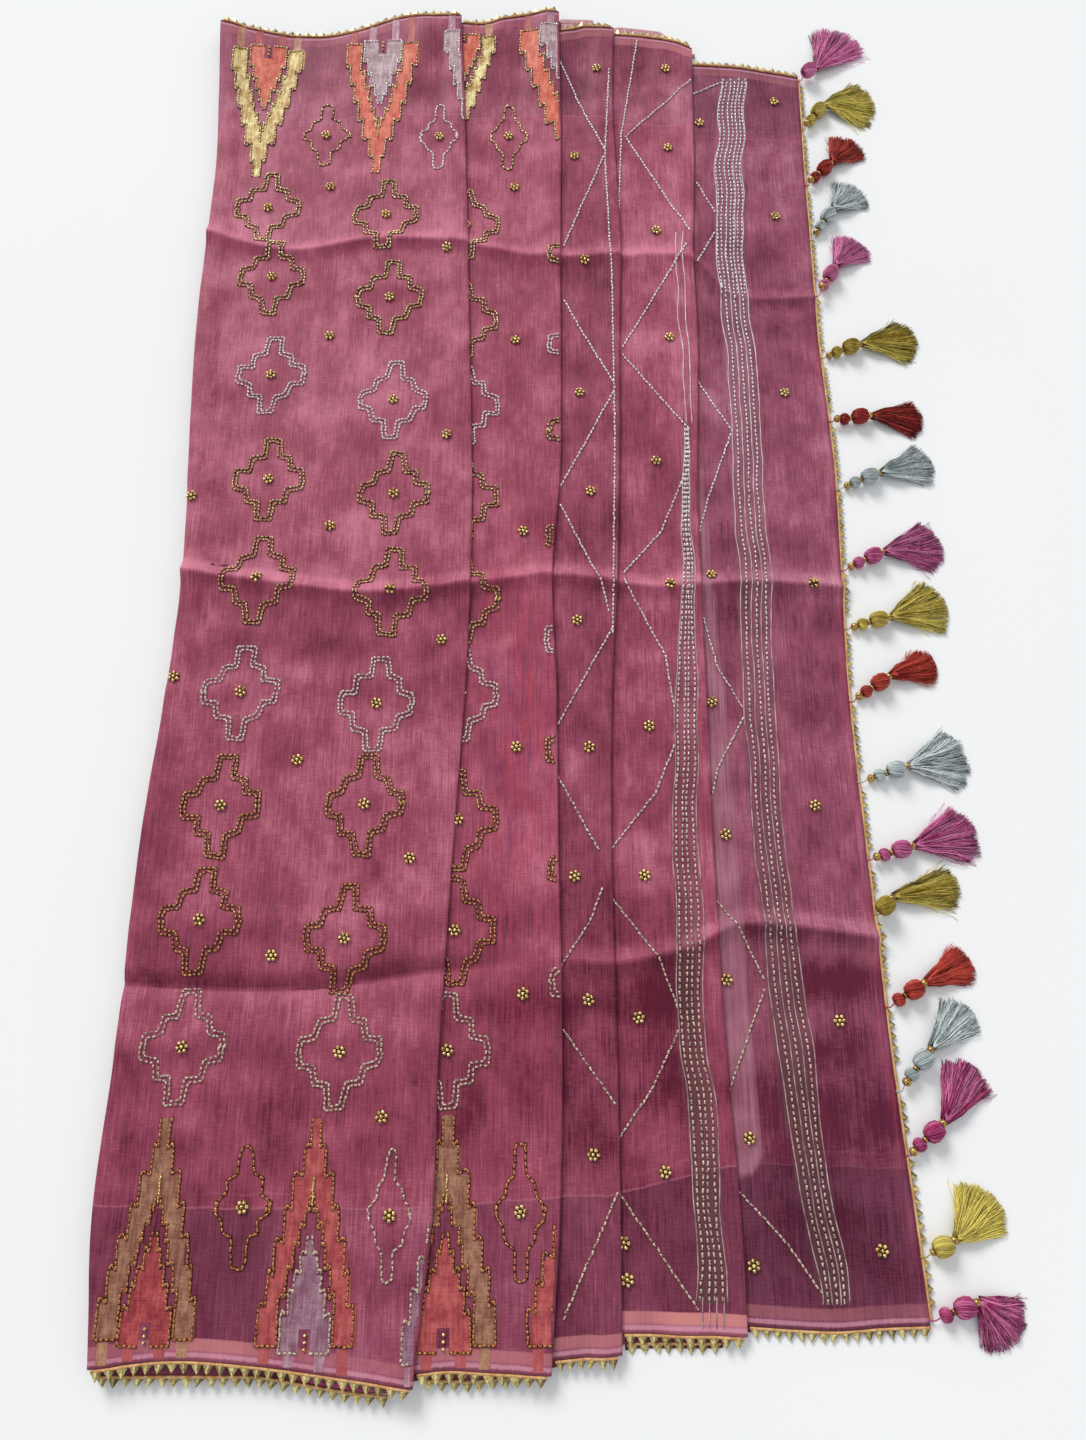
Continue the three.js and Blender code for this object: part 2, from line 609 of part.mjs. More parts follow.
function chainAndHead(row) {
  const chainAngle = radians(row.turn);
  const skirtAngle = radians((row.from + row.to) / 2);
  const acrossCord = (seam + picot.cord) * Math.tan(chainAngle);
  const overEdging = Math.max(...[-1, 1, 1 + acrossCord].map(off => endEdgingTop(row.y + off)))
    + gap;
  const cordReach = endX(row.y) + seam + picot.cord + 3 * gap;
  const startZ = overEdging + tasselForm.threadRadius;
  const rings = [squareRing(chainPoint(row, 0), startZ, chainAngle,
    tasselForm.threadRadius, tasselForm.threadRadius)];
  threaded(row).forEach(bead => {
    const profile = bead.round ? tasselForm.roundBead : tasselForm.flatBead;
    // a bead lies on the floor, or on the edging's cord where it is that near
    const [beadX] = chainPoint(row, row.chain - bead.back);
    const under = beadX - bead.radius < cordReach ? overEdging : tasselForm.floorGap;
    const z = bead.round ? under + bead.radius : tasselForm.neckHeight + tasselForm.lockRaise;
    profile.forEach(([step, swell]) => {
      const place = chainPoint(row, row.chain - bead.back + step * bead.half);
      rings.push(squareRing(place, z, chainAngle, bead.radius * swell, bead.radius * swell));
    });
  });
  const neck = chainPoint(row, row.chain);
  const half = Math.min(radians(row.to - row.from) / 2, radians(tasselForm.widestHead));
  tasselForm.flare.forEach(([out, width, height], n) => {
    const angle = n === 0 ? (chainAngle + skirtAngle) / 2 : skirtAngle;
    const place = [neck[0] + out * Math.cos(skirtAngle), neck[1] + out * Math.sin(skirtAngle)];
    const spread = width + Math.max(0, out - 3) * Math.tan(half);
    const z = tasselForm.neckHeight - tasselForm.droop * out;
    rings.push(squareRing(place, z, angle, spread, height));
  });
  return loft(rings, fanFaces(tasselForm.sides));
}

// one lock of the skirt: three-sided, from inside the head to just above the floor
function lock(neck, angle, length, spacing) {
  const sections = [
    { out: tasselForm.lockRoot, ...tasselForm.lockRootForm },
    { ...tasselForm.lockMiddle, out: tasselForm.lockMiddle.at * length },
    { out: length, base: tasselForm.floorGap, height: tasselForm.lockTip },
  ];
  const rings = sections.map(({ out, base, height }) => {
    const width = Math.min(tasselForm.lockSpread * spacing * out, tasselForm.widestLock);
    const place = [neck[0] + out * Math.cos(angle), neck[1] + out * Math.sin(angle)];
    const side = w => [place[0] - w * Math.sin(angle), place[1] + w * Math.cos(angle)];
    return [[...side(width / 2), base], [...side(-width / 2), base], [...place, base + height]];
  });
  return loft(rings, fanFaces(3));
}

function tassel(row) {
  const count = clamp(Math.round((row.to - row.from) / 7), 7, 11);
  const neck = chainPoint(row, row.chain);
  const locks = Array.from({ length: count }, (_, n) => {
    const t = (n + 0.5) / count;
    const uneven = n % 2 ? 0.97 : 1.03;
    const length = row.skirt * (1 - 0.14 * (2 * t - 1) ** 2) * uneven;
    const spacing = radians(row.to - row.from) / count;
    return lock(neck, radians(lerp(row.from, row.to, t)), length, spacing);
  });
  return joined([chainAndHead(row), ...locks]);
}

// the union of closed bodies
function joined(geometries) {
  const solids = geometries.map(geometry => {
    const bare = geometry.clone();
    bare.deleteAttribute('normal');
    const merged = mergeVertices(bare, 1e-4);
    return new wasm.Manifold(new wasm.Mesh({
      numProp: 3,
      vertProperties: new Float32Array(merged.attributes.position.array),
      triVerts: new Uint32Array(merged.index.array),
    }));
  });
  const { vertProperties, triVerts } = solids.reduce((a, b) => a.add(b)).getMesh();
  const geometry = new THREE.BufferGeometry();
  geometry.setAttribute('position', new THREE.Float32BufferAttribute(vertProperties, 3));
  geometry.setIndex(Array.from(triVerts));
  geometry.computeVertexNormals();
  return geometry;
}

// ---------------------------------------------------------------- the saree
function piece(name, geometry, material) {
  const mesh = new THREE.Mesh(geometry, material);
  mesh.name = name;
  return mesh;
}

const saree = new THREE.Group();
stretchNumbers.forEach(k => {
  saree.add(piece(`stretch_${k}`, stretch(k), silk.cloth));
  saree.add(piece(`lower_edging_${k}`, hemEdging(k, 'lower'), silk.gold));
  saree.add(piece(`upper_edging_${k}`, hemEdging(k, 'upper'), silk.gold));
});
saree.add(piece('pallu_facing', facingWall(), silk.shadow));
saree.add(piece('under_folds', hiddenLayers(), silk.shadow));
hiddenEdgings.forEach((run, n) => {
  saree.add(piece(`under_edging_${n + 1}`, hiddenEdging(run), silk.gold));
});
saree.add(piece('end_edging', endEdging(), silk.gold));
tassels.forEach((row, n) => {
  const name = `tassel_${String(n + 1).padStart(2, '0')}`;
  saree.add(piece(name, tassel(row), silk[row.silk]));
});

// the origin lies under the middle of the whole saree
const box = new THREE.Box3().setFromObject(saree, true);
const middle = box.getCenter(new THREE.Vector3());
saree.position.set(-middle.x, -middle.y, -box.min.z);

export default saree;
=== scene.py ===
import bpy
import numpy as np
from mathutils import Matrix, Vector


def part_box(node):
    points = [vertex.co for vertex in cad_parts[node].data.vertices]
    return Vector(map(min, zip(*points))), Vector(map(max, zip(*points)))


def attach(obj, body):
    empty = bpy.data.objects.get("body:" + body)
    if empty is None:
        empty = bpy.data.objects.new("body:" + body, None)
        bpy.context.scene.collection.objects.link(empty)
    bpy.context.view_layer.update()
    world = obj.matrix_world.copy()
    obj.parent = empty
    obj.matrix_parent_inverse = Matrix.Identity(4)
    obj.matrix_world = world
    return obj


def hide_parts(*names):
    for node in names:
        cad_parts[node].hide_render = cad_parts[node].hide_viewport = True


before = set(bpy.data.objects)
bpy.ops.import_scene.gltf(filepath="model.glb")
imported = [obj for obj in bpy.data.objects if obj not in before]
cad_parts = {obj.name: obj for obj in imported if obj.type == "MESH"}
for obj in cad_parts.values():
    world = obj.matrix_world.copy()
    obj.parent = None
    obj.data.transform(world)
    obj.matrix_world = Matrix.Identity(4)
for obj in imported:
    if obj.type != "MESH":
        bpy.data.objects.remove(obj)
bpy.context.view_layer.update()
print("frame loaded")

# ---- the plan of the folded cloth, in millimetres, as the solids have it
plan = {
    "y": [-600, -572, -480, -380, -230, -110, -15, 90, 220, 310, 400, 480, 575, 600],
    "fold": [
        [-287, -287, -296, -294, -294, -288, -286, -292, -299, -299, -299, -304, -310, -310],
        [-82, -82, -73, -72, -66, -60, -58, -59, -64, -67, -71, -74, -79, -79],
        [5, 5, 11, 13, 11, 10, 7, 14, 15, 15, 16, 16, 15, 15],
        [50, 50, 51, 51, 50, 53, 59, 63, 66, 69, 67, 65, 68, 68],
        [131, 131, 131, 127, 125, 126, 126, 128, 134, 134, 139, 141, 144, 144],
        [251, 251, 247, 242, 238, 236, 239, 242, 239, 240, 241, 243, 245, 245],
    ],
}
hems = {
    "near": [[-569, -564, -567, -573, -580], [-572, -570, -571, -572, -573],
             [-565, -564, -563, -563, -562], [-550, -550, -551, -551, -552],
             [-546, -548, -549, -547, -546]],
    "far": [[572, 560, 560, 578, 580], [574, 574, 582, 587, 588], [567, 570, 574, 573, 572],
            [567, 565, 562, 557, 550], [532, 531, 528, 522, 516]],
}
creases = [
    {"x": [-310, -180, -70, 11, 49, 106, 143, 255],
     "y": [-331, -335, -322, -314, -317, -305, -289, -300],
     "rise": [-4.5, -4.5, -3.5, 1, 4, 5, 6.5, 7]},
    {"x": [-310, -211, -138, -61, 14, 89, 164, 255],
     "y": [-9, -23, -31, -23, -14, -23, -18, -24],
     "rise": [7, 7, 6.5, 6, 5, 5, 5, 5]},
    {"x": [-310, -224, -151, -78, -5, 68, 136, 165, 255],
     "y": [325, 301, 314, 312, 298, 301, 298, 262, 258],
     "rise": [5, 5, 5, 5, 4, 4, 3, 3.5, 4]},
]
farWave = {"x": [-310, -215, -110, -40, 15, 60, 110, 145, 255],
           "rise": [5, 0, 5, 2.5, 3.5, 1.5, 3, 0, 0], "foot": 480, "run": 110}
hiddenHems = {
    "x": [-310, -181, -155, -123, -98, -78, -47, -2, 17, 48, 60, 75, 114, 150],
    "near": [-573, -573, -577, -582, -584, -575, -576, -572, -566, -557, -555, -555, -555, -545],
    "far": [566, 556, 557, 568, 574, 571, 572, 582, 588, 588, 578, 580, 574, 540],
}
bareStrip = {"y": [-600, -462, -450, -395, -319, -196, -116, -49, 78, 140, 600],
             "width": [0, 0, 16, 19, 17.5, 17, 14, 11, 4, 0, 0]}
cloth = {"wall": 1.2, "step": 2.1, "turn": 1.0, "returnPly": 12, "tuck": 15,
         "foldRaise": 1.4, "leftRaise": 1.8, "raiseFrom": 11, "raiseRun": 12,
         "thickness": 0.45, "columnPitch": 3.2, "rowPitch": 3.6, "creaseFoot": 12,
         "panels": (235, 305, 335, 255)}

# the origin of the solids, found from two edgings whose own places are known
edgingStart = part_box("under_edging_1")[0]
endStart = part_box("end_edging")[0]
shift = np.array([edgingStart.x * 1000 + 284, endStart.y * 1000 + 543.8, 0.0])


# a smooth curve through a table: a cubic between two rows, with slopes from their neighbours
def curve(keys, values):
    keys = np.asarray(keys, float)
    values = np.asarray(values, float)
    slopes = np.empty_like(values)
    slopes[1:-1] = (values[2:] - values[:-2]) / (keys[2:] - keys[:-2])
    slopes[0] = (values[1] - values[0]) / (keys[1] - keys[0])
    slopes[-1] = (values[-1] - values[-2]) / (keys[-1] - keys[-2])

    def at(place):
        v = np.clip(place, keys[0], keys[-1])
        n = np.clip(np.searchsorted(keys, v), 1, len(keys) - 1)
        span = keys[n] - keys[n - 1]
        t = (v - keys[n - 1]) / span
        return (values[n - 1] * (2 * t ** 3 - 3 * t ** 2 + 1)
                + values[n] * (3 * t ** 2 - 2 * t ** 3)
                + slopes[n - 1] * span * (t ** 3 - 2 * t ** 2 + t)
                + slopes[n] * span * (t ** 3 - t ** 2))
    return at


def straight(keys, values):
    return lambda place: np.interp(place, keys, values)


# 0 below the start and 1 past the run, with an eased climb between
def ease(value, start=0.0, run=1.0):
    t = np.clip((value - start) / run, 0, 1)
    return t * t * (3 - 2 * t)


# 1 at the middle, fading to 0 on both sides
def bell(value, middle, width):
    return np.exp(-((value - middle) / width) ** 2)


# soft random swell from -1 to 1: numbers on a lattice, blended between its points
def swell(x, y, sizeX, sizeY, seed):
    table = np.random.default_rng(seed).random((64, 64))
    u = np.asarray(x) / sizeX + 640
    v = np.asarray(y) / sizeY + 640
    i = np.floor(u).astype(int)
    j = np.floor(v).astype(int)
    f = ease(u - i)
    g = ease(v - j)
    i0, i1, j0, j1 = i % 64, (i + 1) % 64, j % 64, (j + 1) % 64
    low = table[i0, j0] * (1 - f) + table[i1, j0] * f
    high = table[i0, j1] * (1 - f) + table[i1, j1] * f
    return 2 * (low * (1 - g) + high * g) - 1


foldLine = [curve(plan["y"], row) for row in plan["fold"]]
shares = [0, 0.25, 0.5, 0.75, 1]
hemLine = {side: [curve(shares, row) for row in hems[side]] for side in ("near", "far")}
creaseLine = [(curve(c["x"], c["y"]), curve(c["x"], c["rise"])) for c in creases]
farRise = curve(farWave["x"], farWave["rise"])
hiddenHem = {side: straight(hiddenHems["x"], hiddenHems[side]) for side in ("near", "far")}
stripWidth = curve(bareStrip["y"], bareStrip["width"])


def levelOf(k):
    return cloth["step"] * (6 - k)


# x of the left and right sides of stretch k
def sidesOf(k, y):
    return foldLine[k - 1](y), foldLine[k](y)


# share of the way across stretch k
def shareOf(k, x, y):
    left, right = sidesOf(k, y)
    return np.clip((x - left) / (right - left), 0, 1)


# laid folds: soft ridges, or troughs where the rise is negative, each along a line from
# (x1, y1) to (x2, y2) with a width, on one stretch or on all that lie over each other
softFolds = [
    # stretch, x1, y1, x2, y2, rise, width
    (0, -300, -118, -70, -96, 1.2, 13), (0, -300, -60, -70, -74, 0.9, 12),
    (0, -295, 52, -62, 38, -1.0, 14), (0, -298, 120, -66, 150, 0.9, 16),
    (0, -298, 232, -66, 216, -0.9, 15), (0, -298, 262, -70, 272, 1.3, 12),
    (0, -300, 372, -72, 392, 0.9, 16), (0, -290, -186, -68, -206, 1.0, 17),
    (0, -292, -262, -72, -248, -0.9, 15), (0, -292, -292, -72, -284, 1.6, 11),
    (0, -295, -372, -74, -366, 1.5, 12), (0, -290, -428, -76, -440, 0.9, 14),
    (0, -60, -262, 240, -262, 1.0, 13), (0, -60, -356, 240, -352, -1.1, 11),
    (0, -60, -70, 240, -62, -0.9, 12), (0, -60, 40, 240, 30, 0.8, 14),
    (0, -60, 232, 240, 214, -1.0, 14), (0, 16, 352, 240, 330, 1.0, 15),
    (0, 16, 140, 240, 128, 0.8, 16), (0, 52, -408, 240, -420, -0.9, 14),
    (1, -262, 470, -238, 556, -1.6, 12), (1, -196, 500, -182, 560, 1.4, 14),
    (1, -128, 486, -112, 572, 2.0, 13), (1, -96, 480, -88, 578, -1.4, 9),
    (1, -240, -545, -180, -470, 1.0, 13), (1, -130, -560, -100, -480, 1.3, 12),
    (2, -60, 470, -40, 582, 1.6, 8), (2, -30, 450, -14, 584, -1.5, 8),
    (2, -8, 480, 4, 586, 1.4, 7), (2, -44, -560, -30, -460, 1.0, 9),
    (3, 26, 470, 34, 572, -1.0, 7), (3, 46, 400, 56, 560, 1.2, 7),
    (4, 104, 560, 70, 438, -1.3, 11), (4, 122, 555, 88, 440, 1.3, 10),
    (4, 136, 520, 124, 440, 1.4, 7), (4, 92, 300, 120, 240, 0.9, 9),
    (5, 160, 262, 236, 240, -1.6, 8), (5, 206, 40, 232, -60, 1.0, 12),
    (5, 150, -150, 170, -260, 0.9, 9), (5, 160, -470, 236, -480, 1.0, 10),
    (5, 214, 420, 222, 330, -1.0, 9), (5, 176, 180, 214, 120, 0.9, 12),
]


# height of one laid fold: a bell across its line, fading out at both ends
def laidFold(x, y, x1, y1, x2, y2, rise, width):
    length = np.hypot(x2 - x1, y2 - y1)
    ux, uy = (x2 - x1) / length, (y2 - y1) / length
    along = (x - x1) * ux + (y - y1) * uy
    across = (x - x1) * -uy + (y - y1) * ux + 2.2 * np.sin(along / 31 + x1)
    fade = ease(along, -16, 30) * ease(length - along, -16, 30)
    return rise * fade * bell(across, 0, width)


# section of a crease: how sharp it is, what share of it sags on its near side or is pressed
# flat on its far side, and how far each runs, in feet of the crease
creaseForm = {"power": 1.45, "sagging": 0.45, "sagRun": 1.05, "pressed": 0.9, "farRun": 2.6}


# height that creases, the lifted far hems and shared folds add to every layer
def relief(x, y):
    total = farRise(x) * ease(y, farWave["foot"], farWave["run"])
    for lineAt, riseAt in creaseLine:
        below = lineAt(x) - y
        off = np.abs(below) / cloth["creaseFoot"]
        rise = riseAt(x)
        sharp = np.maximum(0, 1 - off) ** creaseForm["power"]
        nearSide = np.exp(-off / creaseForm["sagRun"])
        nearSide = creaseForm["sagging"] * sharp + (1 - creaseForm["sagging"]) * nearSide
        farSide = bell(off, 0, creaseForm["farRun"])
        farSide = creaseForm["pressed"] * sharp + (1 - creaseForm["pressed"]) * farSide
        total = total + rise * np.where(below > 0, nearSide, farSide)
    for row in softFolds:
        if row[0] == 0:
            total = total + laidFold(x, y, *row[1:])
    total = total + 0.34 * swell(x, y, 58, 24, 3) + 0.16 * swell(x, y, 21, 11, 4)
    return total


# what only stretch k has of its own, gone where it meets its neighbours
def ownFolds(k, x, y):
    left, right = sidesOf(k, y)
    calm = ease(np.minimum(x - left, right - x), 2, 12)
    total = 0.22 * swell(x, y, 26, 15, 40 + k) + 0.10 * swell(x, y, 9, 30, 60 + k)
    for row in softFolds:
        if row[0] == k:
            total = total + laidFold(x, y, *row[1:])
    return total * calm


# 1 near a fold, where a stretch lies on its own turned ply, and 0 further in
def raised(inset):
    return 1 - ease(inset, cloth["raiseFrom"], cloth["raiseRun"])


# top of stretch k: its level, raised where it lies on its own turned ply, and its relief
def clothTop(k, x, y):
    top = levelOf(k) + cloth["wall"] / 2
    if k < 5:
        top = top + cloth["foldRaise"] * raised(foldLine[k](y) - x)
    if k == 1:
        top = top + cloth["leftRaise"] * raised(x - foldLine[0](y))
    return top + relief(x, y) + ownFolds(k, x, y)


# faces of a grid of points, rows by columns, and of the same grid closed round its columns
def gridFaces(rows, columns, closed=False):
    i, j = np.meshgrid(np.arange(rows - 1), np.arange(columns if closed else columns - 1),
                       indexing="ij")
    a = i * columns + j
    b = i * columns + (j + 1) % columns
    return np.stack([a, b, b + columns, a + columns], -1).reshape(-1, 4)


# a mesh from points in millimetres, with its faces, finish and attributes
def addPiece(name, points, faces, finish, smooth=True, attributes=None):
    places = (np.asarray(points, float).reshape(-1, 3) + shift) / 1000
    mesh = bpy.data.meshes.new(name)
    mesh.from_pydata(places.tolist(), [], [list(face) for face in faces])
    mesh.polygons.foreach_set("use_smooth", np.full(len(mesh.polygons), smooth))
    for title, values in (attributes or {}).items():
        layer = mesh.attributes.new(title, "FLOAT", "POINT")
        layer.data.foreach_set("value", np.asarray(values, np.float32).ravel())
    mesh.update()
    piece = bpy.data.objects.new(name, mesh)
    bpy.context.scene.collection.objects.link(piece)
    mesh.materials.append(finish)
    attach(piece, "root")
    return piece


# a thin wall inwards from a surface, which is its outer side
def giveThickness(piece, thickness):
    wall = piece.modifiers.new("wall", "SOLIDIFY")
    wall.thickness = thickness / 1000
    wall.offset = -1.0
    wall.use_even_offset = False


# ---- shader maths: a socket that adds its own nodes when it is used in an expression
class Signal:
    def __init__(self, socket):
        self.socket = socket

    def join(self, operation, first, second=0.0):
        tree = self.socket.id_data
        node = tree.nodes.new("ShaderNodeMath")
        node.operation = operation
        for place, value in zip(node.inputs, (first, second)):
            if isinstance(value, Signal):
                tree.links.new(value.socket, place)
            else:
                place.default_value = value
        return Signal(node.outputs[0])

    def __add__(self, other):
        return self.join("ADD", self, other)

    def __radd__(self, other):
        return self.join("ADD", other, self)

    def __sub__(self, other):
        return self.join("SUBTRACT", self, other)

    def __rsub__(self, other):
        return self.join("SUBTRACT", other, self)

    def __mul__(self, other):
        return self.join("MULTIPLY", self, other)

    def __rmul__(self, other):
        return self.join("MULTIPLY", other, self)

    def __truediv__(self, other):
        return self.join("DIVIDE", self, other)

    def held(self):
        return self.join("MINIMUM", self.join("MAXIMUM", self, 0.0), 1.0)

    def size(self):
        return self.join("ABSOLUTE", self)

    # 1 inside a band round the middle, easing to 0 over the blur
    def band(self, middle, half, blur):
        return (1 - ((self - middle).size() - half) / blur).held()


# a material with its shader; any other node comes from its node method
class Finish:
    def __init__(self, name, **fixed):
        self.material = bpy.data.materials.new(name)
        self.material.use_nodes = True
        self.tree = self.material.node_tree
        self.shader = next(n for n in self.tree.nodes if n.type == "BSDF_PRINCIPLED")
        for title, value in fixed.items():
            self.shader.inputs[title.replace("_", " ")].default_value = value
        self.object = self.node("ShaderNodeTexCoord", output="Object")

    def node(self, kind, settings=None, sockets=None, output=0):
        node = self.tree.nodes.new(kind)
        for title, value in (settings or {}).items():
            setattr(node, title, value)
        for title, value in (sockets or {}).items():
            if isinstance(value, Signal):
                self.tree.links.new(value.socket, node.inputs[title])
            else:
                node.inputs[title].default_value = value
        return Signal(node.outputs[output])

    # random values that are drawn out along the axis whose scale is small
    def noise(self, scale, detail=2.0, roughness=0.5, shifted=0.0):
        vector = self.node("ShaderNodeMapping", {"vector_type": "POINT"},
                           {"Vector": self.object, "Scale": scale,
                            "Location": (shifted, shifted * 0.7, 0)})
        return self.node("ShaderNodeTexNoise", {}, {
            "Vector": vector, "Scale": 1.0, "Detail": detail, "Roughness": roughness})

    # metres from the middle of the cloth towards its far hems
    def farness(self):
        return self.node("ShaderNodeSeparateXYZ", {}, {0: self.object}, output=1)

    def attribute(self, title):
        return self.node("ShaderNodeAttribute", {"attribute_name": title}, output="Fac")

    # first where the amount is 0 or less, second where it is 1 or more
    def mix(self, amount, first, second, blend="MIX"):
        return self.node("ShaderNodeMix", {"data_type": "RGBA", "blend_type": blend,
                                           "clamp_factor": True},
                         {0: amount, 6: first, 7: second}, output=2)

    # a mix of two colours given as they look on a screen
    def between(self, amount, first, second):
        return self.mix(amount, paint(*first), paint(*second))

    def bump(self, height, strength, distance, under=None):
        sockets = {"Strength": strength, "Distance": distance, "Height": height}
        if under is not None:
            sockets["Normal"] = under
        return self.node("ShaderNodeBump", {}, sockets)

    def send(self, title, value):
        self.tree.links.new(value.socket, self.shader.inputs[title])


# a colour given as it looks on a screen, turned into amounts of light
def paint(red, green, blue):
    channel = np.array([red, green, blue]) / 255
    light = np.where(channel <= 0.04045, channel / 12.92, ((channel + 0.055) / 1.055) ** 2.4)
    return (*light.tolist(), 1.0)


# ---- finishes
silkLooks = {
    "ground": (154, 73, 95), "light": (210, 128, 150), "deep": (88, 22, 44),
    "borderTint": (222, 216, 226), "borderTintDeep": (184, 176, 190), "seamLine": (186, 112, 130),
    "stripe": (208, 134, 124), "redShot": (180, 58, 78), "blueShot": (104, 62, 112),
    "hemPink": (202, 124, 146), "fringe": (226, 164, 182),
    "wovenNear": (92, 68, 66), "wovenFar": (178, 140, 152),
    # sheer and sheerPale paint the light of the pale floor showing through the single sheer layer
    # the last colour of the next line paints the shadow under the hem cord, with the turned hem
    "sheer": (146, 84, 104), "sheerPale": (180, 128, 144), "hemShadow": (86, 26, 40),
}
silkLooks = {title: paint(*shade) for title, shade in silkLooks.items()}


# tissue silk: slubs along the cloth, soft blotches, painted light and shade at slopes and creases
# with its own uneven tone, darker borders with a seam line and woven stripes at the hems; the
# places come from the piece's own attributes
def tissueSilk(name, tone=1.0, stripes=True):
    finish = Finish(name, Roughness=0.6, Sheen_Weight=0.02, Sheen_Roughness=0.4,
                    Specular_IOR_Level=0.13, Sheen_Tint=paint(236, 170, 190))
    blotch = finish.noise((16, 11, 1), 4.0, 0.55)
    patch = finish.noise((46, 34, 1), 3.0, 0.6, 3.1)
    slub = finish.noise((760, 16, 1), 3.0, 0.6, 1.7)
    fineSlub = finish.noise((1500, 60, 1), 2.0, 0.6, 5.3)
    cross = finish.noise((130, 900, 1), 2.0, 0.6, 7.9)
    shadeAndTone = finish.attribute("shadeAndTone")
    shot = finish.attribute("shot")
    light = ((blotch - 0.5) * 1.9 + (patch - 0.5) * 1.5 + (slub - 0.5) * 1.25
             + (fineSlub - 0.5) * 1.35 + (cross - 0.5) * 0.8)
    # painted light and shade, with the cloth's own uneven tone, move the colour towards light or
    # deep
    colour = finish.mix(light + shadeAndTone * 0.85, silkLooks["ground"], silkLooks["light"])
    colour = finish.mix(light * -1.0 - shadeAndTone * 0.85, colour, silkLooks["deep"])
    colour = finish.mix(shot * (slub - 0.35) * 1.6, colour, silkLooks["redShot"])
    colour = finish.mix(shot * (0.5 - slub) * 2.0, colour, silkLooks["blueShot"])
    if stripes:
        pastSeam = finish.attribute("pastSeam")
        fromHem = finish.attribute("fromHem")
        inBorder = ((pastSeam + (patch - 0.5) * 5.0) / 2.5 + 0.5).held()
        striped = finish.attribute("striped")
        besideHem = ((12.6 - fromHem + (cross - 0.5) * 1.6) + 0.5).held() * striped
        tint = finish.mix((patch - 0.42) * 2.0 + (blotch - 0.5) * 2.0,
                          silkLooks["borderTint"], silkLooks["borderTintDeep"])
        deeper = finish.attribute("lowBorder")
        colour = finish.mix(inBorder * (0.22 + deeper * 0.8).held() * (1.0 - besideHem).held(),
                            colour, tint, blend="MULTIPLY")
        mauve = finish.attribute("mauve")
        colour = finish.mix(mauve + inBorder * 0.3, colour, (0.93, 1.30, 1.24, 1.0),
                            blend="MULTIPLY")
        ragged = pastSeam + (cross - 0.5) * 0.8 + (patch - 0.5) * 5.0
        plain = (1.0 - mauve).held()
        colour = finish.mix(ragged.band(0.0, 0.3, 0.7) * (slub * 1.1 - 0.15).held() * plain,
                            colour, silkLooks["seamLine"])
        colour = finish.mix(ragged.band(-9.0, 0.3, 0.9) * (blotch * 1.6 - 0.6).held() * 0.5,
                            colour, silkLooks["seamLine"])
        worked = (0.5 + slub * 0.6).held()
        colour = finish.mix(besideHem * 0.7, colour, silkLooks["hemPink"])
        colour = finish.mix(fromHem.band(9.3, 3.0, 0.9) * worked * striped, colour,
                            silkLooks["stripe"])
        fringe = (cross - 0.5) * 1.2 + (fineSlub - 0.5) * 2.6
        colour = finish.mix((fromHem + fringe).band(3.4, 0.9, 0.8) * worked * 0.55, colour,
                            silkLooks["fringe"])
        farness = finish.farness()
        woven = finish.mix(0.5 + farness * 2.5, silkLooks["wovenNear"], silkLooks["wovenFar"])
        colour = finish.mix(finish.attribute("banded") * (0.34 + slub * 0.4), colour, woven)
        # a dark line along the hem under its cord: painted shadow of the cord together with the
        # turned hem
        colour = finish.mix(fromHem.band(0.9, 0.9, 0.8) * ((farness * 20.0).held() * 0.6 + 0.25),
                            colour, silkLooks["hemShadow"])
        # where the cloth is a single sheer layer, a paler colour paints the light of the pale
        # floor showing through
        sheer = finish.attribute("sheer")
        sheerColour = finish.mix((patch - 0.4) * 1.6 + (slub - 0.4) * 1.6,
                                 silkLooks["sheer"], silkLooks["sheerPale"])
        colour = finish.mix(sheer * (0.5 + slub * 0.7).held(), colour, sheerColour)
    if tone != 1.0:
        colour = finish.mix(1.0, colour, (tone, tone, tone, 1.0), blend="MULTIPLY")
    finish.send("Base Color", colour)
    finish.send("Roughness", 0.54 + (slub - 0.5) * 0.3 + (patch - 0.5) * 0.15)
    weave = finish.bump(slub * 0.6 + fineSlub * 0.5 + cross * 0.4, 0.35, 0.0005)
    finish.send("Normal", finish.bump(patch, 0.25, 0.0016, under=weave))
    return finish.material


# woven or metal tissue in one colour, with slubs both ways, and broad pale blotches that are
# partly its own uneven tone and partly painted sheen
def tissuePatch(name, colour, pale, metallic, near=None):
    finish = Finish(name, Roughness=0.5, Metallic=metallic, Specular_IOR_Level=0.25)
    slub = finish.noise((620, 46, 1), 3.0, 0.6)
    cross = finish.noise((70, 900, 1), 2.0, 0.6, 2.2)
    blotch = finish.noise((130, 90, 1), 4.0, 0.66, 4.4)
    light = (slub - 0.5) * 1.7 + (blotch - 0.5) * 2.8 + (cross - 0.5) * 0.8 + 0.36
    tinted = finish.between(light, colour, pale)
    if near is not None:
        farness = finish.farness()
        # towards the near end a duller pair of colours takes over: painted sheen that fades there
        tinted = finish.mix(0.5 - farness * 2.5, tinted, finish.between(light, *near))
    finish.send("Base Color", tinted)
    finish.send("Roughness", 0.34 + (cross * 0.3))
    finish.send("Normal", finish.bump(slub * 0.5 + cross * 0.4 + blotch * 2.0, 0.5, 0.0012))
    return finish.material


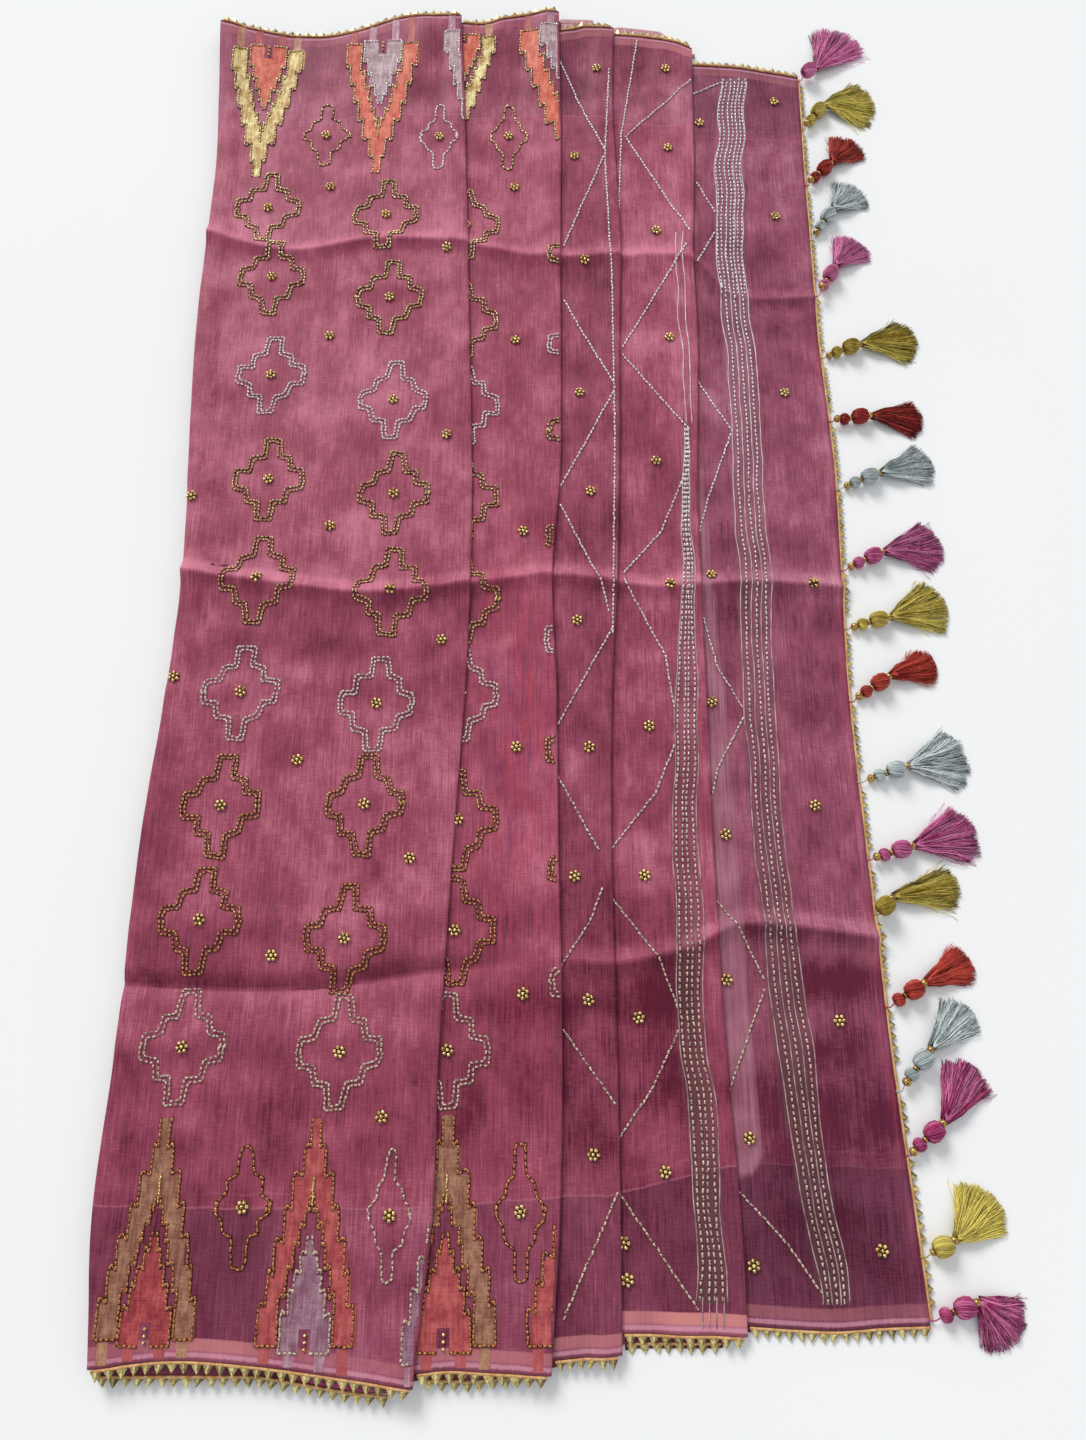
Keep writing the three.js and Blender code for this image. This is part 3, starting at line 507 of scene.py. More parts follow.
# cut metal or glass: bright and dark spots from bead to bead are painted glints, and its ends and
# underside are painted dark as shade; with a second pair of colours, the near end of the cloth has
# duller painted glints and lighter painted shade
def beadFinish(name, colour, other, metallic, roughness, dark=None, near=None):
    finish = Finish(name, Roughness=roughness, Metallic=metallic)
    grain = finish.noise((640, 640, 640), 1.0, 0.5)
    # bright spots are painted glints, dark ones painted shade between them
    spot = (grain - 0.44) * 5.0
    colours = finish.between(spot, colour, other)
    shaded = finish.attribute("dark")
    if near is not None:
        farness = finish.farness()
        nearness = (0.42 - farness * 1.6).held()
        colours = finish.mix(nearness, colours, finish.between(spot, *near))
        shaded = shaded * (0.85 - nearness * 0.3)
    # painted shade at the ends and underside of each bead
    if dark is not None:
        colours = finish.mix(shaded, colours, paint(*dark))
    finish.send("Base Color", colours)
    finish.send("Roughness", roughness + (grain - 0.5) * 0.24)
    return finish.material


# silk floss in one colour: threads differ a little, partly in their own tone and partly by painted
# highlight, and the deep ones between them are painted dark as shade
def flossFinish(name, colour, pale, deep):
    finish = Finish(name, Roughness=0.42, Specular_IOR_Level=0.3)
    thread = finish.attribute("thread")
    depth = finish.attribute("depth")
    shine = finish.noise((260, 260, 260), 2.0, 0.6)
    base = finish.between(thread + (shine - 0.5) * 0.8, colour, pale)
    finish.send("Base Color", finish.mix(depth, base, paint(*deep)))
    finish.send("Roughness", 0.36 + shine * 0.2)
    return finish.material


finishes = {
    "silk": tissueSilk("tissueSilk"),
    # the hidden plies and the facing get the same silk darkened, as painted shade
    "shadowSilk": tissueSilk("innerSilk", tone=0.74, stripes=False),
    "backSilk": tissuePatch("sheerBackSilk", (180, 126, 132), (210, 164, 166), 0.0),
    "satinBand": tissuePatch("magentaSatin", (150, 34, 84), (206, 96, 140), 0.0),
    "darkBand": tissuePatch("darkRedCloth", (84, 12, 30), (118, 26, 44), 0.0),
    "goldTissue": tissuePatch("goldTissue", (164, 122, 58), (240, 230, 168), 0.1,
                              ((126, 78, 62), (180, 134, 108))),
    "coralTissue": tissuePatch("coralTissue", (194, 78, 62), (236, 138, 112), 0.0,
                               ((152, 58, 64), (200, 102, 98))),
    "redTissue": tissuePatch("redTissue", (136, 42, 52), (188, 88, 86), 0.0),
    "silverTissue": tissuePatch("silverTissue", (158, 122, 130), (212, 192, 194), 0.0,
                                ((128, 80, 102), (172, 136, 148))),
    "goldStripe": tissuePatch("goldStripe", (158, 104, 88), (190, 150, 112), 0.1),
    "coralStripe": tissuePatch("coralStripe", (166, 74, 80), (190, 100, 98), 0.0),
    "silverStripe": tissuePatch("silverStripe", (158, 104, 124), (196, 160, 172), 0.1),
    "piping": tissuePatch("tanPiping", (192, 138, 84), (236, 192, 136), 0.0),
    "gota": beadFinish("goldGota", (255, 240, 170), (196, 166, 86), 0.45, 0.24, (50, 38, 8)),
    "goldBead": beadFinish("copperGoldBeads", (255, 232, 176), (138, 84, 34), 0.3, 0.2,
                           (54, 20, 10), ((206, 142, 90), (128, 70, 40))),
    "silverBead": beadFinish("silverBeads", (255, 255, 255), (204, 180, 184), 0.1, 0.18,
                             (84, 44, 58), ((220, 200, 178), (132, 100, 92))),
    "brassBead": beadFinish("antiqueBrassBeads", (255, 222, 150), (136, 92, 46), 0.6, 0.2,
                            (30, 12, 8)),
    "cordSilver": tissuePatch("silverCords", (204, 176, 184), (252, 244, 244), 0.0,
                              ((140, 100, 108), (214, 190, 190))),
    "threadAndShadow": tissuePatch("threadAndShadow", (58, 26, 16), (96, 52, 28), 0.0),
    "goldBall": beadFinish("polishedGoldBeads", (206, 168, 98), (112, 78, 36), 0.6, 0.24),
    "magenta": flossFinish("magentaFloss", (176, 38, 102), (247, 152, 204), (70, 0, 32)),
    "olive": flossFinish("oliveFloss", (154, 126, 10), (244, 226, 118), (60, 42, 0)),
    "brick": flossFinish("brickFloss", (144, 14, 14), (228, 92, 74), (44, 0, 0)),
    "blue": flossFinish("paleBlueFloss", (150, 168, 170), (244, 252, 252), (54, 62, 60)),
}
print("finishes made")


# ---- the five stretches that show
# border seams across the cloth, beyond which it is darker
borderSeam = {
    "far": curve([-305, -240, -150, -60, 20, 80, 145, 240],
                 [470, 446, 462, 458, 464, 456, 452, 446]),
    "near": curve([-300, -180, -73, 11, 50, 129, 240],
                  [-474, -476, -475, -469, -467, -450, -452]),
}


# rows of a stretch: in the four panels between the near hem, the creases and the far hem,
# closer together at each of these lines, so that crests are sharp
def clothRows():
    stations = []
    for n, length in enumerate(cloth["panels"]):
        count = int(length / cloth["rowPitch"])
        t = np.arange(count) / count
        stations.append(n + 0.62 * t + 0.38 * (1 - np.cos(np.pi * t)) / 2)
    return np.append(np.concatenate(stations), 4.0)


# places of a grid on stretch k: shares of its width, with an offset in x, at the row stations
def clothPlaces(k, share, offset, stations):
    share = np.broadcast_to(share, (len(stations), len(share)))
    n = np.clip(np.floor(stations).astype(int), 0, 3)[:, None]
    t = stations[:, None] - n
    y = np.linspace(-560, 560, len(stations))[:, None] + 0 * share
    for _ in range(4):
        left, right = sidesOf(k, y)
        x = left + share * (right - left) + offset
        lines = np.stack([hemLine["near"][k - 1](share)]
                         + [lineAt(x) for lineAt, _ in creaseLine]
                         + [hemLine["far"][k - 1](share)])
        low = np.take_along_axis(lines, np.broadcast_to(n, x.shape)[None], 0)[0]
        high = np.take_along_axis(lines, np.broadcast_to(n + 1, x.shape)[None], 0)[0]
        y = low + t * (high - low)
    return x, y


# a stretch: across, its section is a turned ply, half a circle, the top, and on its other
# side the same or a tuck under its neighbour; along, it follows the relief
def stretchSurface(k):
    left, right = sidesOf(k, np.array([-400, 0, 400]))
    width = float(np.mean(right - left))
    edge = cloth["turn"]
    turnAngles = np.radians([-90, -60, -30, 0, 30, 60])
    # share of the width, offset in x and drop below the top of each column
    columns = []
    drop = cloth["turn"] + cloth["wall"] / 2
    if k == 1:
        columns += [(0, cloth["returnPly"], 2 * drop), (0, 6, 2 * drop)]
        columns += [(0, edge - drop * np.cos(a), drop - drop * np.sin(a)) for a in turnAngles]
        columns += [(0, edge, 0)]
    else:
        columns += [(0, -cloth["tuck"], 0), (0, -8, 0), (0, -3, 0), (0, 0, 0)]
    count = int(width / cloth["columnPitch"])
    inner = np.linspace(0, 1, count + 1)[1:-1]
    columns += [(share, 0, 0) for share in inner]
    if k < 5:
        columns += [(1, -edge, 0)]
        columns += [(1, -edge + drop * np.cos(a), drop - drop * np.sin(a))
                    for a in turnAngles[::-1]]
        columns += [(1, -6, 2 * drop), (1, -cloth["returnPly"], 2 * drop)]
    else:
        columns += [(1, 0, 0)]
    share, offset, below = np.array(columns, float).T
    stations = clothRows()
    x, y = clothPlaces(k, share, offset, stations)
    left, right = sidesOf(k, y)
    low = left + edge if k == 1 else left - cloth["tuck"]
    high = right - edge if k < 5 else right
    z = clothTop(k, np.clip(x, low, high), y) - below
    return x, y, z, share


# the beaded bands: left and right sides by place along the cloth, and the shares of their
# width where beads and plain cords run
bands = [
    {"stretch": 5, "y": [-531, -496, -440, -376, -289, -227, -117, -24, 115, 236, 279, 368, 513],
     "left": [183, 176, 169, 162, 158, 156, 154, 157, 158, 158, 157, 158, 170],
     "right": [199, 195, 188, 186, 179, 177, 176, 181, 181, 181, 179, 181, 193],
     "from": -534, "to": 514, "beads": [0.2, 0.55, 0.86], "cords": [0.0, 0.38, 0.72, 1.05]},
    {"stretch": 5, "y": [200, 279, 368, 513], "left": [159, 157, 158, 170],
     "right": [181, 179, 181, 193], "from": 262, "to": 516, "beads": [0.05, 0.38, 0.7, 1.0],
     "cords": []},
    {"stretch": 4, "y": [-537, -495, -408, -376, -290, -228, -118, -34, 113],
     "left": [101, 102, 99, 95, 96, 97, 102, 110, 118],
     "right": [119, 116, 115, 110, 112, 112, 116, 119, 121],
     "from": -532, "to": 128, "beads": [0.08, 0.4, 0.62, 0.92], "cords": [-0.08, 1.12]},
    {"stretch": 4, "y": [120, 200, 330], "left": [119, 119, 120], "right": [124, 125, 126],
     "from": 128, "to": 330, "beads": [], "cords": [0.0, 1.0]},
]

for band in bands:
    for edge in ("left", "right"):
        band[edge] = curve(band["y"], band[edge])

# soft darker or lighter places, partly painted shade below the creases and partly the cloth's own
# uneven tone: stretch, x, y, half width, half length, amount
tonePatches = [
    (1, -268, 296, 26, 10, -0.5), (1, -150, -46, 70, 11, -0.4), (1, -240, 520, 34, 22, -0.25),
    (2, -40, 240, 22, 22, -0.3), (3, 44, 240, 14, 60, -0.25), (4, 95, 50, 20, 70, -0.25),
    (1, -160, -400, 90, 26, -0.2), (4, 86, -245, 22, 16, -0.4), (5, 180, 240, 50, 50, -0.18),
    (5, 170, -90, 40, 60, -0.12), (3, 34, -498, 26, 50, 0.46), (5, 190, -505, 60, 30, -0.3),
    (1, -205, -505, 34, 34, -0.45), (1, -98, -505, 26, 50, 0.36), (1, -120, -452, 30, 14, -0.2),
    (1, -262, 330, 40, 30, 0.12), (4, 82, 22, 20, 44, 0.32), (4, 70, 88, 20, 30, 0.2),
    (1, -150, 60, 60, 60, 0.12), (1, -100, -200, 40, 40, 0.14), (1, -150, -70, 30, 18, -0.34),
    (1, -205, -60, 40, 16, -0.22), (1, -250, -90, 30, 16, -0.2), (1, -170, -130, 60, 10, 0.24),
    (1, -100, -150, 36, 14, 0.2), (1, -285, -250, 16, 160, -0.12), (2, -45, 520, 18, 50, -0.3),
    (2, -10, 530, 16, 50, 0.2), (2, -50, -440, 16, 60, -0.3), (2, -14, -352, 40, 46, -0.62),
    (2, -20, -240, 40, 30, 0.26), (2, 0, 250, 30, 80, -0.16), (3, 34, 480, 16, 60, -0.25),
    (3, 32, -352, 30, 46, -0.62), (3, 40, -200, 20, 40, 0.2), (3, 45, -20, 14, 80, -0.2),
    (4, 80, 500, 18, 50, -0.35), (4, 112, 500, 22, 50, 0.06), (4, 100, 240, 40, 70, 0.14),
    (4, 75, -342, 40, 50, -0.50), (4, 84, -190, 30, 30, -0.2), (4, 90, -240, 40, 34, 0.22),
    (4, 64, 60, 10, 120, -0.3), (4, 110, -60, 20, 60, 0.2), (5, 170, 470, 40, 40, -0.3),
    (5, 200, 300, 40, 40, -0.15), (5, 200, 60, 40, 60, 0.1), (5, 214, -329, 36, 13, -1.1),
    (5, 160, -300, 40, 30, 0.2), (5, 200, -420, 50, 60, -0.3), (5, 215, -180, 30, 60, 0.18),
    (5, 150, -180, 14, 60, 0.12), (1, -92, -276, 30, 34, 0.25), (2, -10, -190, 30, 60, 0.14),
    (4, 114, -345, 12, 66, 0.42), (4, 76, -412, 22, 26, -0.28),
    (4, 96, 88, 24, 30, 0.2), (1, -120, 500, 60, 40, -0.12), (5, 216, -450, 40, 40, 0.12),
]
# of each stretch: how light it is, its stripes at the two hems, and how mauve it is
tones = {"light": [0.08, 0.05, -0.20, 0.0, -0.30], "farStripes": [0.12, 0.16, 0.25, 0.4, 0.22],
         "nearStripes": [0.28, 0.5, 0.45, 1.0, 0.24], "mauve": [0, 0, 0.12, 0, 0.8]}


# painted light and shade with the cloth's own uneven tone, where slopes that face the far side are
# painted lighter, and how strong its borders, stripes and bands are
def stretchTones(k, x, y, share):
    step = 2.0
    slope = (clothTop(k, x, y + step) - clothTop(k, x, y - step)) / (2 * step)
    # painted light and shade: slopes facing the far side lighter, the others darker; with a soft
    # random tone
    shadeAndTone = np.clip(-slope * 0.8, -0.45, 0.35) + 0.20 * swell(x, y, 90, 26, 70 + k)
    # painted shade on the near side of each crease and a painted highlight just past it on the far
    # side
    for lineAt, riseAt in creaseLine:
        off = y - lineAt(x)
        size = np.clip(riseAt(x) / 6, -1, 1)
        shadeAndTone = shadeAndTone - size * 0.20 * bell(off, -15, 22) * ease(-off, -2, 9)
        shadeAndTone = shadeAndTone + size * 0.24 * bell(off, 8, 14)
    # each stretch's own lightness, and the far half painted lighter and the near half darker as
    # the light falls off
    shadeAndTone = shadeAndTone + tones["light"][k - 1] + 0.16 * ease(y, 0, 300) - 0.12 * ease(-y, 60, 300)
    shadeAndTone = shadeAndTone - 0.26 * ease(y, 466, 70) - 0.16 * ease(-y, 330, 40)
    # a painted shadow where a stretch runs under its neighbour's fold
    if k in (2, 3, 4):
        shadeAndTone = shadeAndTone - 0.35 * (1 - ease(x - foldLine[k - 1](y), 0, 9))
    if k == 4:
        shadeAndTone = shadeAndTone + 0.14 * ease(y, 60, 200) - 0.22 * bell(x, 96, 16)
    hemNear = hemLine["near"][k - 1](share)
    hemFar = hemLine["far"][k - 1](share)
    fromHem = np.minimum(y - hemNear, hemFar - y)
    pastSeam = np.maximum(y - borderSeam["far"](x), borderSeam["near"](x) - y)
    shot = np.full_like(x, 0.12)
    if k == 5:
        shot = shot + 0.15
        selvedge = ease(9 - (foldLine[5](y) - x), 0, 5) * ease(260 - y, 0, 120)
        shadeAndTone = shadeAndTone + selvedge * (0.35 + 0.5 * swell(x, y, 5, 30, 51))
        shot = shot + 0.7 * selvedge
    if k == 2:
        shot = 0.9 * bell(y, -130, 170) * bell(x, -14, 34) + 0.25
    # the bare strip of the fifth stretch is one sheer layer, painted paler for the floor's light
    # showing through
    sheer = np.zeros_like(x)
    if k == 5:
        side = x - foldLine[4](y)
        width = stripWidth(y)
        sheer = ease(width - side + 0.8, 0, 1.6) * ease(width, 0.5, 3.0)
    lowBorder = ease(-y, 0, 50) * (0.9 if k > 2 else 0.35) + 0.2 * (k == 5)
    for stretch, middleX, middleY, halfWidth, halfLength, amount in tonePatches:
        if stretch == k:
            spot = amount * bell(x, middleX, halfWidth) * bell(y, middleY, halfLength)
            shadeAndTone = shadeAndTone + spot
            lowBorder = lowBorder - 1.6 * spot * (y < -400)
    banded = np.zeros_like(x)
    for band in bands:
        if band["stretch"] == k and band["beads"]:
            inside = ease(x - band["left"](y) + 2, 0, 1.5)
            inside = inside * ease(band["right"](y) + 2 - x, 0, 1.5)
            inside = inside * (y > band["from"]) * (y < band["to"])
            banded = np.maximum(banded, inside * (0.45 + 0.55 * ease(-y, 60, 380)))
    striped = np.where(y > 0, tones["farStripes"][k - 1], tones["nearStripes"][k - 1])
    striped = striped * (0.85 + 0.4 * swell(x, y, 22, 60, 33))
    if k == 1:
        woven = np.exp(-((x + 207) / 27) ** 4 - ((y + 517) / 44) ** 4)
        lowBorder = lowBorder - 0.22 + 0.85 * woven
        striped = striped + 0.36 * np.exp(-((x + 207) / 30) ** 4) * (y < 0)
    return {"shadeAndTone": shadeAndTone, "fromHem": fromHem, "pastSeam": pastSeam, "shot": shot,
            "mauve": tones["mauve"][k - 1] + 0 * x, "banded": banded, "sheer": sheer,
            "lowBorder": lowBorder, "striped": striped}


stretchPieces = []
for k in range(1, 6):
    x, y, z, share = stretchSurface(k)
    piece = addPiece(f"clothStretch{k}", np.stack([x, y, z], -1),
                     gridFaces(*x.shape), finishes["silk"],
                     attributes=stretchTones(k, x, y, share))
    giveThickness(piece, cloth["thickness"])
    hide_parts(f"stretch_{k}")
    stretchPieces.append(piece)
print("stretches laid")


# ---- the plies that lie under them, and the facing behind the open end
plies = {"count": 6, "out": [1.9, 1.2, 0.7, 1.6, 0.9, 1.5], "columnPitch": 15,
         "nearIn": [1.2, 2.4, 0.9, 1.8, -0.6, 0.3], "farIn": [0.0, 2.2, 0.6, 3.0, 1.2, 2.4],
         "hemHeight": 0.66, "hemRun": 7, "thickness": 0.35, "low": 0.05,
         "under": 1.1, "tuckFrom": 17, "width": 432, "returnPly": 24, "roundness": 9.0}


# top of the hidden plies: a step down to the right under each tuck, lower at both hems
def hiddenTop(x, y):
    top = levelOf(1) - plies["under"] + 0 * x
    for k in range(1, 5):
        top = top - cloth["step"] * ease(x, foldLine[k](y) - plies["tuckFrom"], plies["tuckFrom"])
    inside = np.minimum(y - hiddenHem["near"](x), hiddenHem["far"](x) - y)
    part = plies["hemHeight"] + (1 - plies["hemHeight"]) * ease(inside, plies["hemRun"], 4)
    return (top + relief(x, y) * 0.96 - 0.25) * part


# one ply: folded round at its left side, its top and underside shares of the hidden height
def plySurface(n):
    low, high = n / plies["count"], (n + 1) / plies["count"]
    angles = np.radians(np.linspace(-90, 90, 6))
    inner = np.append(np.arange(10, plies["width"] - 2, plies["columnPitch"]), plies["width"])
    t = np.concatenate([np.linspace(0, 1, 9) ** 1.6 * 0.06, np.linspace(0.08, 0.92, 60),
                        1 - np.linspace(1, 0, 9) ** 1.6 * 0.06])[:, None]
    y0 = -570 + 1140 * t
    fold = foldLine[0](y0) + plies["out"][n]
    half = (high - low) / 2 * plies["roundness"]
    xs = [fold + plies["returnPly"]] + [fold + half - half * np.cos(a) for a in angles]
    xs += [fold + d for d in inner]
    heights = [low] + [low + (high - low) * (np.sin(a) + 1) / 2 for a in angles]
    heights += [high] * len(inner)
    x = np.concatenate([v + 0 * y0 for v in xs], 1)
    near = hiddenHem["near"](x) + plies["nearIn"][n]
    far = hiddenHem["far"](x) - plies["farIn"][n]
    y = near + t * (far - near)
    share = np.array(heights)[None] + 0 * x
    return x, y, np.maximum(hiddenTop(x, y) * share, plies["low"] + 0.4 * share)


for n in range(plies["count"]):
    x, y, z = plySurface(n)
    # a soft random tone, and the hidden plies painted darker still as shade
    shadeAndTone = 0.3 * swell(x, y, 40, 26, 90 + n) - 0.25
    piece = addPiece(f"foldedPly{n + 1}", np.stack([x, y, z], -1), gridFaces(*x.shape),
                     finishes["shadowSilk"], attributes={"shadeAndTone": shadeAndTone, "shot": 0 * x})
    giveThickness(piece, plies["thickness"])
    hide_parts("under_folds")

facing = {"inset": 3.0, "level": 1.2, "columns": 22, "rows": 130, "thickness": 0.4}
t = np.linspace(0, 1, facing["rows"])[:, None]
s = np.linspace(0, 1, facing["columns"])[None]
y = -543 + 1070 * t + 0 * s
for _ in range(3):
    left = foldLine[4](y) + np.maximum(stripWidth(y), 2.0)
    right = foldLine[5](y) - facing["inset"]
    x = left + s * (right - left)
    share = shareOf(5, x, y)
    near = hemLine["near"][4](share) + facing["inset"]
    far = hemLine["far"][4](share) - facing["inset"]
    y = near + t * (far - near)
facingPiece = addPiece("palluFacing", np.stack([x, y, facing["level"] + relief(x, y)], -1),
                       gridFaces(*x.shape), finishes["shadowSilk"],
                       attributes={"shadeAndTone": 0 * x, "shot": 0 * x})
giveThickness(facingPiece, facing["thickness"])
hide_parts("pallu_facing")

# ends of other layers that peek out past the hems, and how far past them they reach; beyond
# the hem they lie flat under the points
peeks = [
    # name, x from and to, y of the inner end, finish, height over the plies, reach past the hem
    ("backPlyLeft", 17, 49, 556, "backSilk", 0.5, -0.8),
    ("backPlyRight", 62, 147, 548, "backSilk", 0.5, -0.8),
    ("magentaBand", -156, -92, -562, "satinBand", 0.6, -0.8),
    ("darkRedBand", 53, 116, -545, "darkBand", 0.4, 4.4),
]
for name, left, right, inner, finish, height, past in peeks:
    s = np.linspace(0, 1, 26)[None]
    t = np.linspace(0, 1, 22)[:, None]
    x = left + s * (right - left) + 0 * t
    sign = int(np.sign(inner))
    hem = hiddenHem["far" if sign > 0 else "near"](x)
    y = inner + t * (hem + sign * past - inner)
    z = hiddenTop(x, y) + height + 0.25 * swell(x, y, 9, 14, 31)
    flat = ease(sign * (y - hem), -0.7, 0.9)
    z = z * (1 - flat) + 0.45 * flat
    piece = addPiece(name, np.stack([x, y, z], -1), gridFaces(*x.shape)[:, ::sign],
                     finishes[finish])
    giveThickness(piece, plies["thickness"])
print("hidden plies laid")


# ---- small shapes turned from a profile, and rows of them
# a closed shape round the x axis: rings of the profile's radii, closed by a pole at each end
def turned(profile, sides):
    rings = np.array(profile[1:-1], float)
    a = 2 * np.pi * np.arange(sides) / sides
    ringPoints = np.stack([rings[:, :1] + 0 * a, rings[:, 1:] * np.cos(a),
                           rings[:, 1:] * np.sin(a)], -1).reshape(-1, 3)
    points = np.concatenate([ringPoints, [[profile[0][0], 0, 0], [profile[-1][0], 0, 0]]])
    faces = gridFaces(len(rings), sides, closed=True).tolist()
    first, last = len(points) - 2, len(points) - 1
    offset = (len(rings) - 1) * sides
    faces += [[first, (j + 1) % sides, j] for j in range(sides)]
    faces += [[last, offset + j, offset + (j + 1) % sides] for j in range(sides)]
    return points, faces


beadShape = turned([(-1, 0), (-0.74, 1), (0.74, 1), (1, 0)], 4)
ballShape = turned([(-1, 0), (-0.71, 0.71), (0, 1), (0.71, 0.71), (1, 0)], 6)
padShape = (np.array([(-1, -1, 0), (1, -1, 0), (1, 1, 0), (-1, 1, 0), (-1, 0, 0.5),
                      (1, 0, 0.5)], float),
            [[3, 2, 1, 0], [0, 1, 5, 4], [2, 3, 4, 5], [0, 4, 3], [1, 2, 5]])
discShape = turned([(-1, 0), (-0.6, 1), (0.6, 1), (1, 0)], 10)


# how dark each point of a sewn shape is: its ends and its underside, away from the light
def shade(shape):
    points = shape[0]
    ends = np.maximum(np.abs(points[:, 0]) - 0.76, 0) / 0.24
    return np.clip(0.12 - 0.7 * points[:, 2] + 0.95 * ends, 0, 1)


# copies of a shape: its x axis laid along each direction, its z towards each lift, at a
# centre, stretched by a half length and a half width
def copies(shape, centres, directions, lifts, halfLength, halfWidth):
    points, faces = shape
    count = len(centres)
    axis = directions / np.linalg.norm(directions, axis=1, keepdims=True)
    side = np.cross(lifts, axis)
    side /= np.linalg.norm(side, axis=1, keepdims=True)
    lift = np.cross(axis, side)
    halfLength = np.broadcast_to(halfLength, count)[:, None, None]
    halfWidth = np.broadcast_to(halfWidth, count)[:, None, None]
    placed = (centres[:, None] + points[None, :, :1] * halfLength * axis[:, None]
              + points[None, :, 1:2] * halfWidth * side[:, None]
              + points[None, :, 2:] * halfWidth * lift[:, None])
    sizes = {}
    for face in faces:
        sizes.setdefault(len(face), []).append(face)
    steps = np.arange(count)[:, None, None] * len(points)
    made = []
    for group in sizes.values():
        array = np.array(group)
        made += (array[None] + steps).reshape(-1, array.shape[1]).tolist()
    return placed.reshape(-1, 3), made


# joined bodies as one list of points and faces
def together(parts):
    points = []
    faces = []
    start = 0
    for partPoints, partFaces in parts:
        points.append(np.asarray(partPoints).reshape(-1, 3))
        faces += [[n + start for n in face] for face in partFaces]
        start += len(points[-1])
    return np.concatenate(points), faces


# points at an even pitch along a line in plan
def evenly(path, pitch):
    path = np.asarray(path, float)
    runs = np.hypot(*np.diff(path, axis=0).T)
    reach = np.append(0, np.cumsum(runs))
    count = max(1, int(round(reach[-1] / pitch)))
    at = (np.arange(count) + 0.5) * reach[-1] / count

    def place(run):
        return np.stack([np.interp(run, reach, path[:, 0]), np.interp(run, reach, path[:, 1])], -1)

    return place(at), place(at + 0.4) - place(at - 0.4)


# a place on stretch k's surface, its slope there, and whether the stretch shows it
def onCloth(k, places):
    x, y = places[:, 0], places[:, 1]
    z = clothTop(k, x, y)
    dx = (clothTop(k, x + 1, y) - clothTop(k, x - 1, y)) / 2
    dy = (clothTop(k, x, y + 1) - clothTop(k, x, y - 1)) / 2
    normal = np.stack([-dx, -dy, np.ones_like(dx)], -1)
    normal /= np.linalg.norm(normal, axis=1, keepdims=True)
    left, right = sidesOf(k, y)
    share = shareOf(k, x, y)
    shown = (x > left - 1.0) & (x < right - 1.2)
    shown &= (y > hemLine["near"][k - 1](share) + 1) & (y < hemLine["far"][k - 1](share) - 1)
    return z, dx, dy, normal, shown


sewn = {"goldBead": [], "silverBead": [], "brassBead": [], "threadAndShadow": []}
sewnShade = {finish: [] for finish in sewn}
sewing = {
    "pitch": 3.2, "half": 1.42, "radius": 0.84, "wander": 0.16, "ball": 1.5, "ring": 3.15,
    # pitch, half length and radius of the beads of other rows
    "border": (4.0, 1.85, 0.8), "lattice": (3.8, 1.88, 0.8), "band": (4.3, 1.75, 0.76),
    "flame": (3.1, 1.56, 0.78), "cordRadius": 0.48, "cordHeight": 0.22,
    # how far a bead turns at random, its height in radii, and the dark pad under it, which paints
    # its
    # thread and shadow: how far down, how long and how wide
    "turn": 0.10, "lift": 0.75, "under": (0.72, 1.2, 1.3),
    # a flower's lift in radii, its middle bead's own lift, and the dark disc under it, which
    # paints thread and shadow
    "ballLift": 0.8, "middleLift": 0.5, "discLift": 0.35, "disc": (0.3, 0.9),
}
luck = np.random.default_rng(7)


def sew(finish, shape, centres, directions, lifts, halfLength, halfWidth):
    sewn[finish].append(copies(shape, centres, directions, lifts, halfLength, halfWidth))
    sewnShade[finish].append(np.tile(shade(shape), len(centres)))


# a row of long beads sewn on stretch k along a line, or from corner to corner of it
def beadRow(k, path, finish, pitch=None, half=None, radius=None, corners=False):
    runs = [path]
    if corners:
        runs = [(a, b) for a, b in zip(path[:-1], path[1:]) if np.hypot(*(b - a)) > 1.6]
    spaced = [evenly(run, pitch or sewing["pitch"]) for run in runs]
    places = np.concatenate([row[0] for row in spaced])
    ahead = np.concatenate([row[1] for row in spaced])
    places = places + luck.normal(0, sewing["wander"], places.shape)
    z, dx, dy, normal, shown = onCloth(k, places)
    radius = radius or sewing["radius"]
    direction = np.stack([ahead[:, 0], ahead[:, 1], ahead[:, 0] * dx + ahead[:, 1] * dy], -1)
    direction[:, :2] += luck.normal(0, sewing["turn"], (len(places), 2))
    centres = np.column_stack([places, z]) + normal * radius * sewing["lift"]
    keep = shown & (np.linalg.norm(direction, axis=1) > 1e-6)
    if keep.any():
        halfLength = (half or sewing["half"]) * luck.uniform(0.82, 1.08, keep.sum())
        sew(finish, beadShape, centres[keep], direction[keep], normal[keep], halfLength, radius)
        if finish == "goldBead":
            # a dark pad under each gold bead paints its thread and the shadow under it
            down, long, wide = sewing["under"]
            sew("threadAndShadow", padShape, centres[keep] - normal[keep] * radius * down,
                direction[keep], normal[keep], halfLength * long, radius * wide)


